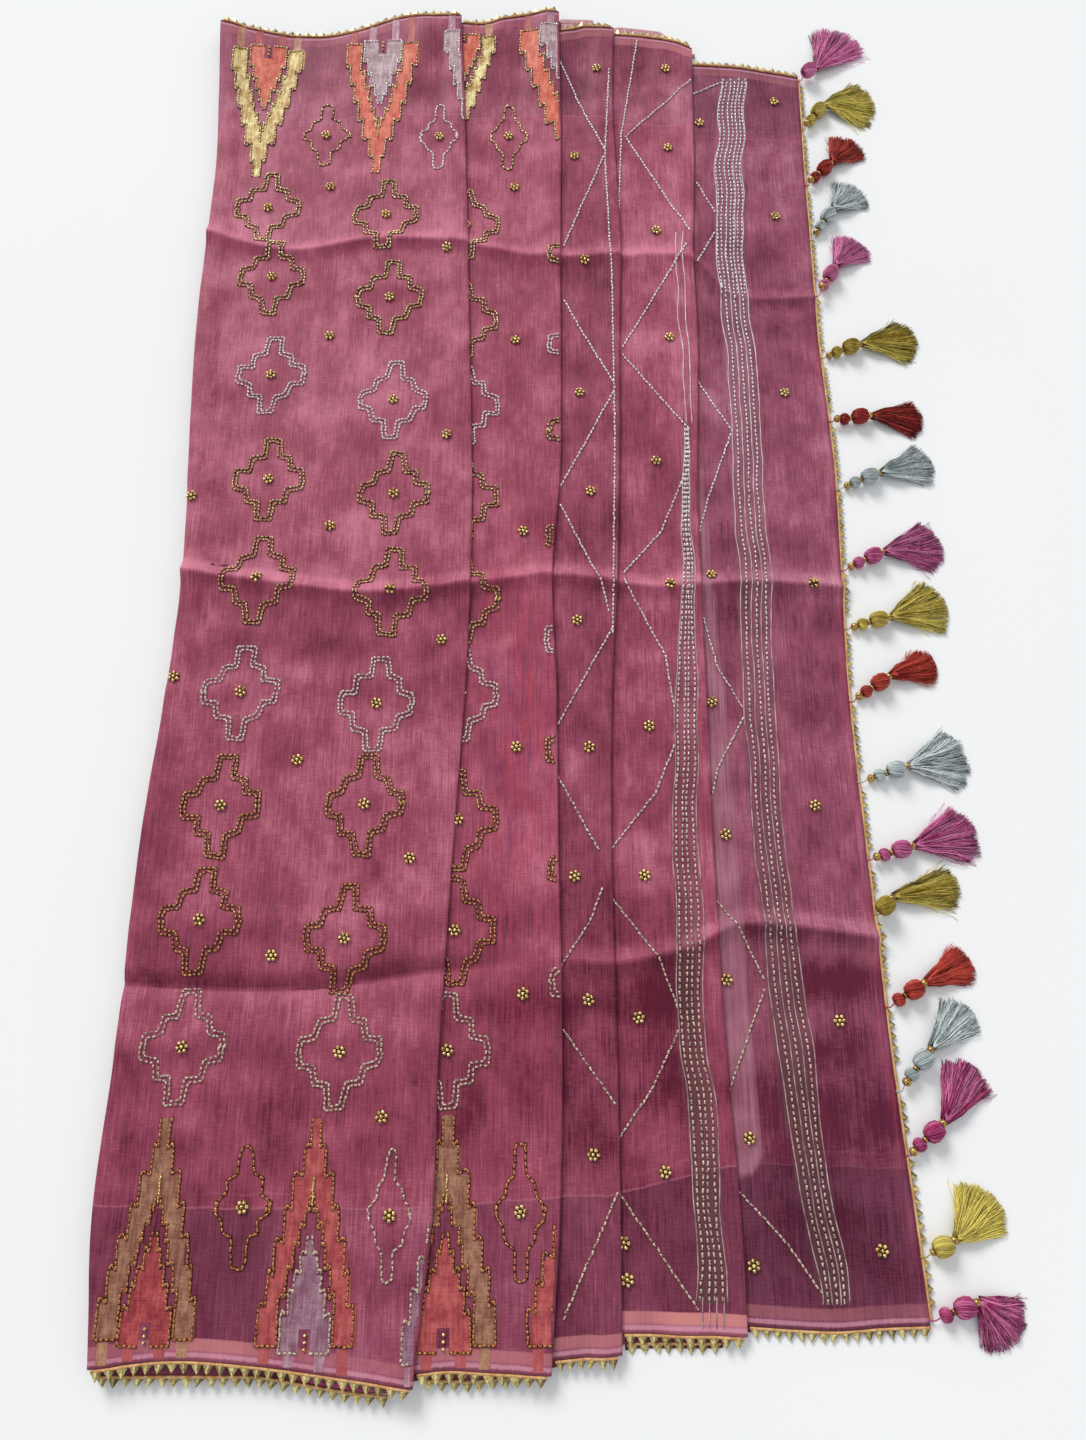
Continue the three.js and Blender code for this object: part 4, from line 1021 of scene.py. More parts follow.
# a flower of seven round beads, over a dark disc that paints thread and shadow under them
def cluster(k, x, y):
    ball, ring = sewing["ball"], sewing["ring"]
    a = np.arange(6) * np.pi / 3 + luck.uniform(0, 1)
    places = np.stack([np.append(x + ring * np.cos(a), x), np.append(y + ring * np.sin(a), y)], -1)
    z, dx, dy, normal, shown = onCloth(k, places)
    centres = np.column_stack([places, z]) + normal * ball * sewing["ballLift"]
    centres[6] += normal[6] * sewing["middleLift"]
    direction = np.tile([1.0, 0.2, 0.0], (7, 1)) + luck.normal(0, 0.3, (7, 3))
    if shown.any():
        sew("brassBead", ballShape, centres[shown], direction[shown], normal[shown], ball, ball)
    if shown.all():
        middle = np.array([[x, y, z[6]]]) + normal[6:] * sewing["discLift"]
        half, past = sewing["disc"]
        sew("threadAndShadow", discShape, middle, normal[6:], direction[6:], half, ring + past)


# stepped diamonds: half widths and heights as shares, from the top to the middle
diamondSteps = {
    "broad": [(0.22, 1.0), (0.27, 0.60), (0.58, 0.56), (0.64, 0.28), (0.97, 0.24), (1.0, 0.0)],
    "pointed": [(0.10, 1.0), (0.24, 0.92), (0.28, 0.54), (0.62, 0.42), (0.66, 0.22),
                (0.98, 0.10), (1.0, -0.08)],
}


# rings of a stepped diamond about a middle, the second one inwards by a gap
def diamondOutline(x, y, halfWidth, halfHeight, steps, lean=0.0, gap=0.0):
    top = [(w, h) for w, h in diamondSteps[steps]]
    right = top + [(w, -h) for w, h in top[::-1]]
    ring = np.array(right + [(-w, h) for w, h in right[::-1]] + [right[0]])
    side = np.sign(ring)
    wobble = luck.normal(0, 0.7, ring.shape)
    wobble[-1] = wobble[0]
    ring = ring * (halfWidth, halfHeight)
    rings = []
    for inward in (0, gap)[:1 + (gap > 0)]:
        line = ring - side * inward + wobble
        rings.append(np.stack([x + line[:, 0] + lean * line[:, 1], y + line[:, 1]], -1))
    return rings


diamonds = {
    # column of each stretch: stretch, x and y of each middle, and which rows are silver
    "halfWidth": 29.0, "halfHeight": 38, "rowGap": 2.7,
    "columns": [
        {"stretch": 1, "lean": 0.04, "silver": (2, 5, 8),
         "at": [(-248, 351), (-238, 274), (-231, 173), (-225, 72), (-226, -19), (-231, -114),
                (-238, -203), (-245, -287), (-248, -374)]},
        {"stretch": 1, "lean": 0.05, "silver": (2, 5, 8),
         "at": [(-141, 343), (-134, 253), (-126, 148), (-122, 59), (-120, -29), (-127, -123),
                (-132, -202), (-141, -300), (-140, -377)]},
        {"stretch": 2, "lean": -0.03, "silver": (2, 5, 8),
         "at": [(-69, 334), (-68, 231), (-66, 145), (-65, 57), (-63, -35), (-63, -115),
                (-63, -213), (-63, -294), (-66, -376)]},
        {"stretch": 2, "lean": 0.0, "silver": (1, 4, 7),
         "at": [(33, 300), (33, 205), (33, 120), (31, 20), (30, -70), (31, -160), (33, -250),
                (34, -330)]},
    ],
    "border": [
        # stretch, x, y, half width, half height, finish
        (1, -201, 435, 21, 36, "goldBead"), (1, -96, 433, 17, 38, "silverBead"),
        (2, -32, 436, 17, 38, "goldBead"), (1, -198, -475, 18, 37, "goldBead"),
        (1, -101, -480, 14, 40, "silverBead"), (2, -15, -478, 16, 42, "goldBead"),
    ],
}
for column in diamonds["columns"]:
    for n, (x, y) in enumerate(column["at"]):
        finish = "silverBead" if n in column["silver"] else "goldBead"
        for ring in diamondOutline(x, y, diamonds["halfWidth"], diamonds["halfHeight"],
                                   "broad", column["lean"], diamonds["rowGap"]):
            beadRow(column["stretch"], ring, finish, corners=True)
        cluster(column["stretch"], x, y)
for k, x, y, halfWidth, halfHeight, finish in diamonds["border"]:
    ring, = diamondOutline(x, y, halfWidth, halfHeight, "pointed")
    beadRow(k, ring, finish, *sewing["border"], corners=True)
    cluster(k, x, y)

# single flowers, by stretch
flowers = {
    1: [(-193, 374), (-184, 213), (-172, 29), (-184, -168), (-192, -312), (-85, 305),
        (-80, 114), (-79, -71), (-97, -242), (-109, -419), (-286, 56), (-283, -102)],
    2: [(-26, 376), (-24, 210), (-16, 25), (-20, -157), (-14, -338)],
    3: [(51, 519), (29, 415), (37, 295), (31, 158), (39, 63), (27, -52), (35, -157),
        (23, -255), (32, -342), (34, -443)],
    4: [(117, 522), (116, 427), (102, 331), (110, 217), (94, 93), (101, -21), (81, -139),
        (74, -254), (67, -354), (82, -454), (55, -519), (53, -497)],
    5: [(219, 485), (147, 459), (211, 349), (206, 161), (135, -11), (215, -20), (130, -119),
        (135, -223), (203, -201), (208, -356), (130, -328), (140, -433), (223, -502),
        (138, -511)],
}
for k, places in flowers.items():
    for x, y in places:
        cluster(k, x, y)

# single lines of silver beads that cross into a lattice, by stretch
lattice = {
    3: [[(16, 531), (42, 457), (57, 421)], [(56, 414), (18, 311)], [(18, 254), (60, 167)],
        [(60, 158), (14, 67)], [(14, 51), (47, -21), (52, -46)], [(55, -58), (11, -139)],
        [(11, -179), (41, -236)], [(43, -263), (34, -287), (12, -320)], [(9, -355), (50, -412)],
        [(50, -466), (13, -542)],
        [(63, 520), (57, 414), (61, 275), (60, 112), (52, -151)]],
    4: [[(91, 559), (73, 443), (68, 339)], [(144, 512), (77, 440), (132, 329)],
        [(129, 316), (68, 205)], [(68, 199), (123, 122)], [(119, 84), (96, 27), (64, -11)],
        [(64, -16), (95, -79), (101, -125)], [(100, -154), (84, -192), (48, -237)],
        [(45, -264), (82, -312), (95, -348)], [(95, -362), (75, -401), (50, -435)],
        [(50, -466), (101, -537)]],
    5: [[(142, 494), (171, 509)], [(141, 389), (157, 353)], [(155, 331), (137, 296)],
        [(131, 175), (159, 123), (136, 59), (126, 23)], [(123, -29), (136, -90), (154, -124)],
        [(154, -131), (132, -172), (126, -197)], [(126, -272), (141, -292), (157, -328)],
        [(157, -334), (128, -403)], [(130, -465), (162, -499), (182, -528)]],
}
for k, paths in lattice.items():
    for path in paths:
        beadRow(k, path, "silverBead", *sewing["lattice"])


# a line along a band at a share of its width: all its lines wander together, and each a
# little on its own
def bandLine(band, share, own, length, row, seed):
    along = np.arange(band["from"], band["to"], 4.0)
    left, right = band["left"](along), band["right"](along)
    across = left + share * (right - left) + 1.7 * swell(along, 0 * along, 34, 9, 14)
    return across + own * swell(along, row, length, 9, seed), along


cordPaths = []
for band in bands:
    k = band["stretch"]
    for row, share in enumerate(band["beads"]):
        across, along = bandLine(band, share, 0.5, 26, row * 9.0, 16)
        beadRow(k, np.stack([across, along], -1), "silverBead", *sewing["band"])
    for row, share in enumerate(band["cords"]):
        cordPaths.append((k, *bandLine(band, share, 0.7, 22, row * 7.0, 15)))


# thin round cords along paths of equal length: rings of a few sides, closed at their ends
def tubes(paths, radius, sides):
    count, steps, _ = paths.shape
    run = np.gradient(paths, axis=1)
    run /= np.linalg.norm(run, axis=2, keepdims=True) + 1e-9
    side = np.cross(run, [0.0, 0.0, 1.0])
    side /= np.linalg.norm(side, axis=2, keepdims=True) + 1e-9
    lift = np.cross(side, run)
    a = 2 * np.pi * np.arange(sides) / sides + np.pi / 2
    radius = np.broadcast_to(radius, (count, steps))[..., None, None]
    ring = (paths[:, :, None] + radius * (np.cos(a)[:, None] * side[:, :, None]
                                          + np.sin(a)[:, None] * lift[:, :, None]))
    quads = gridFaces(steps, sides, closed=True)[:, ::-1]
    start = np.arange(count)[:, None, None] * steps * sides
    faces = (quads[None] + start).reshape(-1, 4).tolist()
    firstCap = np.arange(sides)[None] + start[:, 0]
    lastCap = firstCap[:, ::-1] + (steps - 1) * sides
    return ring.reshape(-1, 3), faces + firstCap.tolist() + lastCap.tolist()


# loose ends of the threads of the band that reaches the fourth stretch's hem
for n in range(4):
    along = np.arange(-547, -528, 3.0)
    cordPaths.append((4, 103 + 4.6 * n + 0.05 * (along + 540), along))

cordParts = []
for k, across, along in cordPaths:
    z, _, _, _, shown = onCloth(k, np.stack([across, along], -1))
    path = np.stack([across, along, z + sewing["cordHeight"]], -1)[shown]
    if len(path) > 2:
        cordParts.append(tubes(path[None], sewing["cordRadius"], 4))
points, faces = together(cordParts)
bandCords = addPiece("silverCords", points, faces, finishes["cordSilver"])
print("lattice and bands sewn")

# ---- flames: stepped patches of tissue with bead outlines
# widths as shares of the half width, from the tip to the foot as shares of the height
flameForm = {
    "outer": [(0.0, 0.10), (0.14, 0.22), (0.27, 0.42), (0.42, 0.57), (0.56, 0.73),
              (0.70, 0.86), (0.84, 1.0)],
    "gap": [(0.375, 0.06), (0.43, 0.14), (0.50, 0.25), (0.58, 0.33), (0.68, 0.46),
            (0.80, 0.58)],
    "tent": [(0.55, 0.07), (0.62, 0.17), (0.70, 0.28), (0.78, 0.39), (0.88, 0.52)],
    "notch": [(0.93, 0.12)],
    "slit": (0.27, 0.40), "cell": 3.2, "clear": 0.25, "spike": 0.028, "tentFoot": 1.03,
    "stripeHalf": 3.4, "stripeGap": 1.5, "footPitch": 3.0, "slitPitch": 2.2,
    "notchBeads": (0.955, 0.985, 1.015), "notchBead": 1.2, "corner": 1.1,
    "tentLegs": (0.12, 0.54), "outerStripes": (-0.82, 0.80), "innerStripes": (-0.30, 0.34),
}
flames = [
    # stretch, x of the axis, y of the foot and of the tip, half width, outer and inner tissue,
    # outer and inner beads
    (1, -262, 540, 386, 33, "goldTissue", "coralTissue", "goldBead", "goldBead"),
    (1, -153, 545, 391, 34, "coralTissue", "silverTissue", "goldBead", "silverBead"),
    (1, -62, 560, 420, 31, "silverTissue", "silverTissue", "silverBead", "silverBead"),
    (2, -76, 556, 444, 30, "goldTissue", "coralTissue", "goldBead", "goldBead"),
    (2, 20, 566, 412, 42, "coralTissue", "silverTissue", "goldBead", "silverBead"),
    (1, -254, -552, -420, 31, "goldTissue", "redTissue", "goldBead", "goldBead"),
    (1, -152, -556, -420, 31, "coralTissue", "silverTissue", "goldBead", "silverBead"),
    (1, -56, -566, -430, 34, "silverTissue", "silverTissue", "silverBead", "silverBead"),
    (2, -64, -556, -418, 34, "goldTissue", "coralTissue", "goldBead", "goldBead"),
    (2, 28, -556, -440, 38, "coralTissue", "coralTissue", "goldBead", "goldBead"),
]
# how far patches run under the left neighbour and stop short of the right side
patching = {"under": 3.0, "short": 1.6, "least": 0.8}
patchParts = {}


# half width of a stepped side at a share of the height from the tip
def stepped(rows, at):
    starts = np.array([row[0] for row in rows])
    widths = np.array([row[1] for row in rows])
    n = np.searchsorted(starts, at, side="right") - 1
    return np.where(n >= 0, widths[np.maximum(n, 0)], 0.0)


# a patch on stretch k between two sides, from cell to cell down its height
def clothPatch(k, tissue, levels, leftSide, rightSide, clear):
    for low, high, left, right in zip(levels[:-1], levels[1:], leftSide, rightSide):
        middleY = (low + high) / 2
        firstX, lastX = sidesOf(k, middleY)
        left = max(left, float(firstX) - patching["under"])
        right = min(right, float(lastX) - patching["short"])
        if right - left < patching["least"]:
            continue
        s = np.linspace(0, 1, max(2, int((right - left) / flameForm["cell"]) + 1))[None]
        t = np.linspace(0, 1, max(2, int(abs(high - low) / flameForm["cell"]) + 1))[:, None]
        x = left + s * (right - left) + 0 * t
        y = low + t * (high - low) + 0 * s
        z = clothTop(k, x, y) + clear
        faces = gridFaces(*x.shape)
        if high < low:
            faces = faces[:, ::-1]
        patchParts.setdefault(tissue, []).append((np.stack([x, y, z], -1), faces.tolist()))


for k, axis, foot, tip, half, outerTissue, innerTissue, bead, innerBead in flames:
    span = foot - tip
    cuts = sorted({row[0] for row in flameForm["outer"] + flameForm["gap"]} | {1.0})
    fine = np.array(cuts)
    mids = (fine[:-1] + fine[1:]) / 2
    outer = stepped(flameForm["outer"], mids) * half * luck.uniform(0.95, 1.05, len(mids))
    gapHalf = stepped(flameForm["gap"], mids) * half
    levels = tip + fine * span
    jitter = luck.normal(0, 0.8, len(mids))
    clear = flameForm["clear"]
    clothPatch(k, outerTissue, levels, axis - outer + jitter, axis - gapHalf, clear)
    clothPatch(k, outerTissue, levels, axis + gapHalf, axis + outer + jitter, clear)
    tentCuts = np.array(sorted({row[0] for row in flameForm["tent"] + flameForm["notch"]}
                               | {flameForm["tentFoot"]}))
    tentMids = (tentCuts[:-1] + tentCuts[1:]) / 2
    tent = stepped(flameForm["tent"], tentMids) * half
    notch = stepped(flameForm["notch"], tentMids) * half
    tentLevels = tip + tentCuts * span
    clothPatch(k, innerTissue, tentLevels, axis - tent, axis - notch, clear)
    clothPatch(k, innerTissue, tentLevels, axis + notch, axis + tent, clear)

    # bead outlines down the steps of each side
    for rows, last, finish in (("outer", 1.0, bead), ("gap", 1.0, bead),
                               ("tent", flameForm["tentFoot"], innerBead)):
        form = flameForm[rows]
        for side in (-1, 1):
            path = []
            ends = [row[0] for row in form[1:]] + [last]
            for (start, wide), end in zip(form, ends):
                at = axis + side * wide * half
                spike = flameForm["spike"] * (start > 0)
                path += [(at - side * flameForm["corner"], tip + (start - spike) * span),
                         (at, tip + start * span), (at, tip + end * span)]
            path = np.array(path) + luck.normal(0, 0.4, (len(path), 2))
            beadRow(k, path, finish, *sewing["flame"], corners=True)
    # the foot of each leg, the slit above the gap, and three round beads in the notch
    for side in (-1, 1):
        inner = stepped(flameForm["gap"], np.array(0.99)) * half
        beadRow(k, [(axis + side * inner, foot), (axis + side * half, foot)],
                bead, pitch=flameForm["footPitch"])
        tentFootY = tip + flameForm["tentFoot"] * span
        beadRow(k, [(axis + side * leg * half, tentFootY) for leg in flameForm["tentLegs"]],
                innerBead, pitch=flameForm["footPitch"])
    slit = [tip + v * span for v in flameForm["slit"]]
    beadRow(k, [(axis, slit[0]), (axis, slit[1])], "brassBead",
            pitch=flameForm["slitPitch"])
    for step in flameForm["notchBeads"]:
        place = np.array([[axis + 0.4, tip + step * span]])
        z, dx, dy, normal, shown = onCloth(k, place)
        if shown.all():
            centre = np.array([[place[0, 0], place[0, 1], z[0]]]) + normal
            size = flameForm["notchBead"]
            sew("brassBead", ballShape, centre, np.array([[1.0, 0, 0]]), normal, size, size)
    # short woven stripes from the feet to the hem
    side = "far" if foot > 0 else "near"
    gap = np.sign(foot) * flameForm["stripeGap"]
    for offset, tissue in ([(at, outerTissue) for at in flameForm["outerStripes"]]
                           + [(at, innerTissue) for at in flameForm["innerStripes"]]):
        x = axis + offset * half
        start = foot + gap
        share = float(shareOf(k, x, start))
        hem = float(hemLine[side][k - 1](share)) - gap
        if (hem - start) * np.sign(foot) > 2:
            woven = tissue.replace("Tissue", "Stripe").replace("red", "coral")
            wide = flameForm["stripeHalf"]
            clothPatch(k, woven, np.array([start, hem]), [x - wide], [x + wide], clear * 0.5)

for tissue, parts in patchParts.items():
    points, faces = together(parts)
    piece = addPiece(tissue + "Patches", points, faces, finishes[tissue])
for finish, parts in sewn.items():
    half = len(parts) // 2 if finish in ("goldBead", "silverBead") else len(parts)
    shades = sewnShade[finish]
    for n, (group, dark) in enumerate(((parts[:half], shades[:half]),
                                       (parts[half:], shades[half:]))):
        if group:
            points, faces = together(group)
            piece = addPiece(f"{finish}Sewing{n + 1}", points, faces, finishes[finish],
                             attributes={"dark": np.concatenate(dark)})
            print(finish, n, len(faces), "faces")
print("patches and beads sewn")

# ---- hem edgings: a covered cord with a row of folded gold points
edging = {"pitch": 7.6, "cord": 2.0, "tooth": 6.0, "farTooth": 5.0, "endTooth": 4.5,
          "inset": 2.2, "seam": 0.5, "cordRadius": 0.95, "ridge": 0.95, "thickness": 0.5,
          "cordSides": 8, "farLift": 0.9, "hiddenLow": 0.9,
          "hiddenRuns": [(-284, -98), (-76, 4), (54, 115)]}


# a folded point: two facets that meet on a raised ridge, the left one over the right one
def toothShape(width, reach, up, turnIn):
    # local axes: s along the hem, o outwards from it, u up
    half = width / 2
    ridge = edging["ridge"] * up
    base = -edging["thickness"] / 2
    leaf = np.array([
        [-half, 0, 0], [0.06 * width, 0, ridge], [turnIn, reach, 0.1], [-half, 0, base],
        [0.06 * width, 0, base], [turnIn, reach, base * 0.4]])
    other = np.array([
        [-0.05 * width, -0.1, ridge * 0.5], [half, 0, 0], [turnIn, reach * 0.97, 0.0],
        [-0.05 * width, -0.1, base], [half, 0, base], [turnIn, reach * 0.97, base * 0.6]])
    faces = [[0, 2, 1], [3, 4, 5], [0, 1, 4, 3], [1, 2, 5, 4], [2, 0, 3, 5]]
    return np.concatenate([leaf, other]), faces + [[n + 6 for n in face] for face in faces]


# painted shade on each point of a folded point: none on the ridge, which keeps its bright colour
# as a painted highlight, and dark on its sides and underside
toothShade = np.array([0.8, 0.0, 0.1, 1.0, 1.0, 0.9, 0.35, 1.0, 0.55, 1.0, 1.0, 1.0])


# an edging along a line: place gives a point for a distance along, outwards and up
def edgingParts(length, reach, place, outSign, keep=None, wild=0.0):
    count = max(1, int(round(length / edging["pitch"] / 2))) * 2
    pitch = length / count
    along = np.linspace(0, length, max(6, int(length / 3.0)))
    path = place(along, np.full_like(along, edging["cord"] / 2), np.zeros_like(along))
    cordPart = tubes(path[None], edging["cordRadius"], edging["cordSides"])
    teeth = []
    for n in range(count):
        s = (n + 0.5) * pitch
        if keep is not None and not keep(s):
            continue
        points, faces = toothShape(pitch * luck.uniform(0.94, 1.02),
                                   reach * luck.uniform(0.9, 1.02), luck.uniform(0.8, 1.25),
                                   luck.normal(0, 0.35 + wild))
        up = points[:, 2] + wild * luck.normal(0, 0.5) * points[:, 1] / reach
        placed = place(s + points[:, 0], edging["cord"] * 0.8 + points[:, 1], up)
        if outSign < 0:
            faces = [face[::-1] for face in faces]
        teeth.append((placed, faces))
    shades = [np.clip(toothShade + luck.normal(0, 0.16), 0, 1) for _ in teeth]
    return cordPart, (*together(teeth), np.concatenate(shades)) if teeth else None


def addEdging(name, nodes, cordPart, toothPart):
    cordPiece = addPiece(name + "Piping", *cordPart, finishes["piping"])
    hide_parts(*nodes)
    if toothPart is not None:
        toothPiece = addPiece(name + "Points", *toothPart[:2], finishes["gota"], smooth=False,
                              attributes={"dark": toothPart[2]})
        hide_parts(*nodes)


for side, sign, title in (("near", -1, "lower"), ("far", 1, "upper")):
    for k in range(1, 6):
        middleY = float(hemLine[side][k - 1](0.5))
        start = float(foldLine[k - 1](middleY)) + edging["inset"]
        stop = float(foldLine[k](middleY)) - (0 if k == 5 else edging["inset"])

        def hemPlace(s, out, up, k=k, start=start, sign=sign, side=side):
            x = start + s
            hemY = hemLine[side][k - 1](shareOf(k, x, np.full_like(x, middleY)))
            z = clothTop(k, x, hemY) - cloth["wall"] / 2 + edging["farLift"] * (sign > 0)
            out = out - edging["farLift"] * (sign > 0)
            return np.stack([x, hemY + sign * (edging["seam"] * 0.4 + out), z + up], -1)

        reach, wild = (edging["tooth"], 0.4) if side == "near" else (edging["farTooth"], 0.7)
        cordPart, toothPart = edgingParts(stop - start, reach, hemPlace, sign, wild=wild)
        addEdging(f"{title}Hem{k}", [f"{title}_edging_{k}"], cordPart, toothPart)

for n, (start, stop) in enumerate(edging["hiddenRuns"]):
    def hiddenPlace(s, out, up, start=start):
        x = start + s
        hemY = hiddenHem["near"](x)
        z = np.maximum(hiddenTop(x, hemY + 1) - edging["hiddenLow"], edging["hiddenLow"])
        return np.stack([x, hemY - edging["seam"] - out, z + up], -1)

    cordPart, toothPart = edgingParts(stop - start, edging["tooth"], hiddenPlace, -1, wild=0.45)
    addEdging(f"hiddenHem{n + 1}", [f"under_edging_{n + 1}"], cordPart, toothPart)
print("edgings sewn")

# ---- tassels: a thread with beads, a head and a skirt of floss
tassels = [
    # y, chain, turn, skirt, from, to, silk
    (511, 21, 36, 58, 24, 88, "magenta"), (450, 37, 52, 47, -38, 46, "olive"),
    (384, 36, 45, 36, 14, 88, "brick"), (322, 41, 56, 36, 8, 86, "blue"),
    (258, 40, 59, 37, 18, 88, "magenta"), (196, 38, 21, 48, -25, 38, "olive"),
    (132, 36, 8, 42, -30, 23, "brick"), (67, 40, 22, 45, -13, 42, "blue"),
    (-7, 39, 25, 47, -23, 40, "magenta"), (-58, 38, 15, 46, -18, 50, "olive"),
    (-119, 39, 33, 37, -10, 44, "brick"), (-183, 40, 18, 45, -27, 46, "blue"),
    (-242, 36, 17, 47, -19, 45, "magenta"), (-282, 19, 42, 48, -11, 30, "olive"),
    (-347, 34, 31, 36, -2, 48, "brick"), (-403, 39, 48, 39, 16, 69, "blue"),
    (-444, 35, 39, 42, 28, 84, "magenta"), (-506, 26, 26, 37, 2, 82, "olive"),
    (-543, 34, 20, 32, -90, 2, "magenta"),
]
threading = {
    # distance back from the neck, half length, radius, and what it is
    "beads": [(30.6, 2.9, 3.3, "ball"), (24.0, 3.4, 4.8, "wrapped"), (19.0, 1.1, 2.5, "ring"),
              (10.9, 6.5, 6.5, "wrapped"), (2.2, 1.9, 2.8, "ring")],
    "threads": 390, "steps": 7, "strand": 0.33, "wraps": 36, "clumps": 34, "strays": 26,
    "neckHeight": 4.8, "ringHeight": 5.4, "edgeWidth": 3.4, "cord": 0.5,
    # a skirt: half width and swell beside the neck, half thickness, height at the neck, its
    # rise after it, and height of the middle where the threads lie on the floor
    "neckHalf": 2.7, "bulge": 1.6, "thick": 2.4, "high": 4.4, "rise": 1.3, "lying": 2.0,
    "strayStrand": 0.2, "strayCurl": 2.6, "strayHigh": 7.2,
    # some tassels are lighter or darker than the rest of their silk
    "tones": {1: 0.2, 2: 0.12, 3: -0.1, 4: 0.16, 5: 0.2, 6: -0.12, 7: -0.3, 9: 0.04, 10: 0.14,
              11: 0.1, 12: 0.1, 13: 0.04, 14: -0.05, 15: 0.16, 16: 0.12, 17: -0.2, 18: 0.4,
              19: -0.06},
}
ringShape = turned([(-1, 0), (-1, 0.72), (-0.55, 1), (0.55, 1), (1, 0.72), (1, 0)], 12)
smoothBall = turned([(-1, 0)] + [(-np.cos(a), np.sin(a)) for a in np.linspace(0.35, 2.79, 8)]
                    + [(1, 0)], 14)
goldParts = []


def endX(y):
    return foldLine[5](np.asarray(y, float))


# what is threaded on a chain of that length
def threaded(chain):
    return [bead for bead in threading["beads"] if bead[0] + bead[1] + 1 <= chain]


# silk laid along a bead from pole to pole, with a slight twist
def wrappedBead(centre, axis, half, radius, rng):
    a = np.linspace(0.06, np.pi - 0.06, 6)[None]
    turnAt = (2 * np.pi * np.arange(threading["wraps"]) / threading["wraps"])[:, None]
    turnAt = turnAt + 0.45 * (a - np.pi / 2) + rng.normal(0, 0.03, (threading["wraps"], 1))
    across = np.cross([0, 0, 1.0], axis)
    lift = np.cross(axis, across)
    swellOut = radius * (0.30 + 0.66 * np.sin(a) ** 0.8)
    path = (centre + (-half * np.cos(a) + 0 * turnAt)[..., None] * axis
            + (swellOut * np.cos(turnAt))[..., None] * across
            + (swellOut * np.sin(turnAt))[..., None] * lift)
    strands = tubes(path, radius * 0.11 + 0 * a + 0 * turnAt, 3)
    core = copies(smoothBall, centre[None], axis[None], lift[None], half * 0.97, radius * 0.93)
    return strands, core


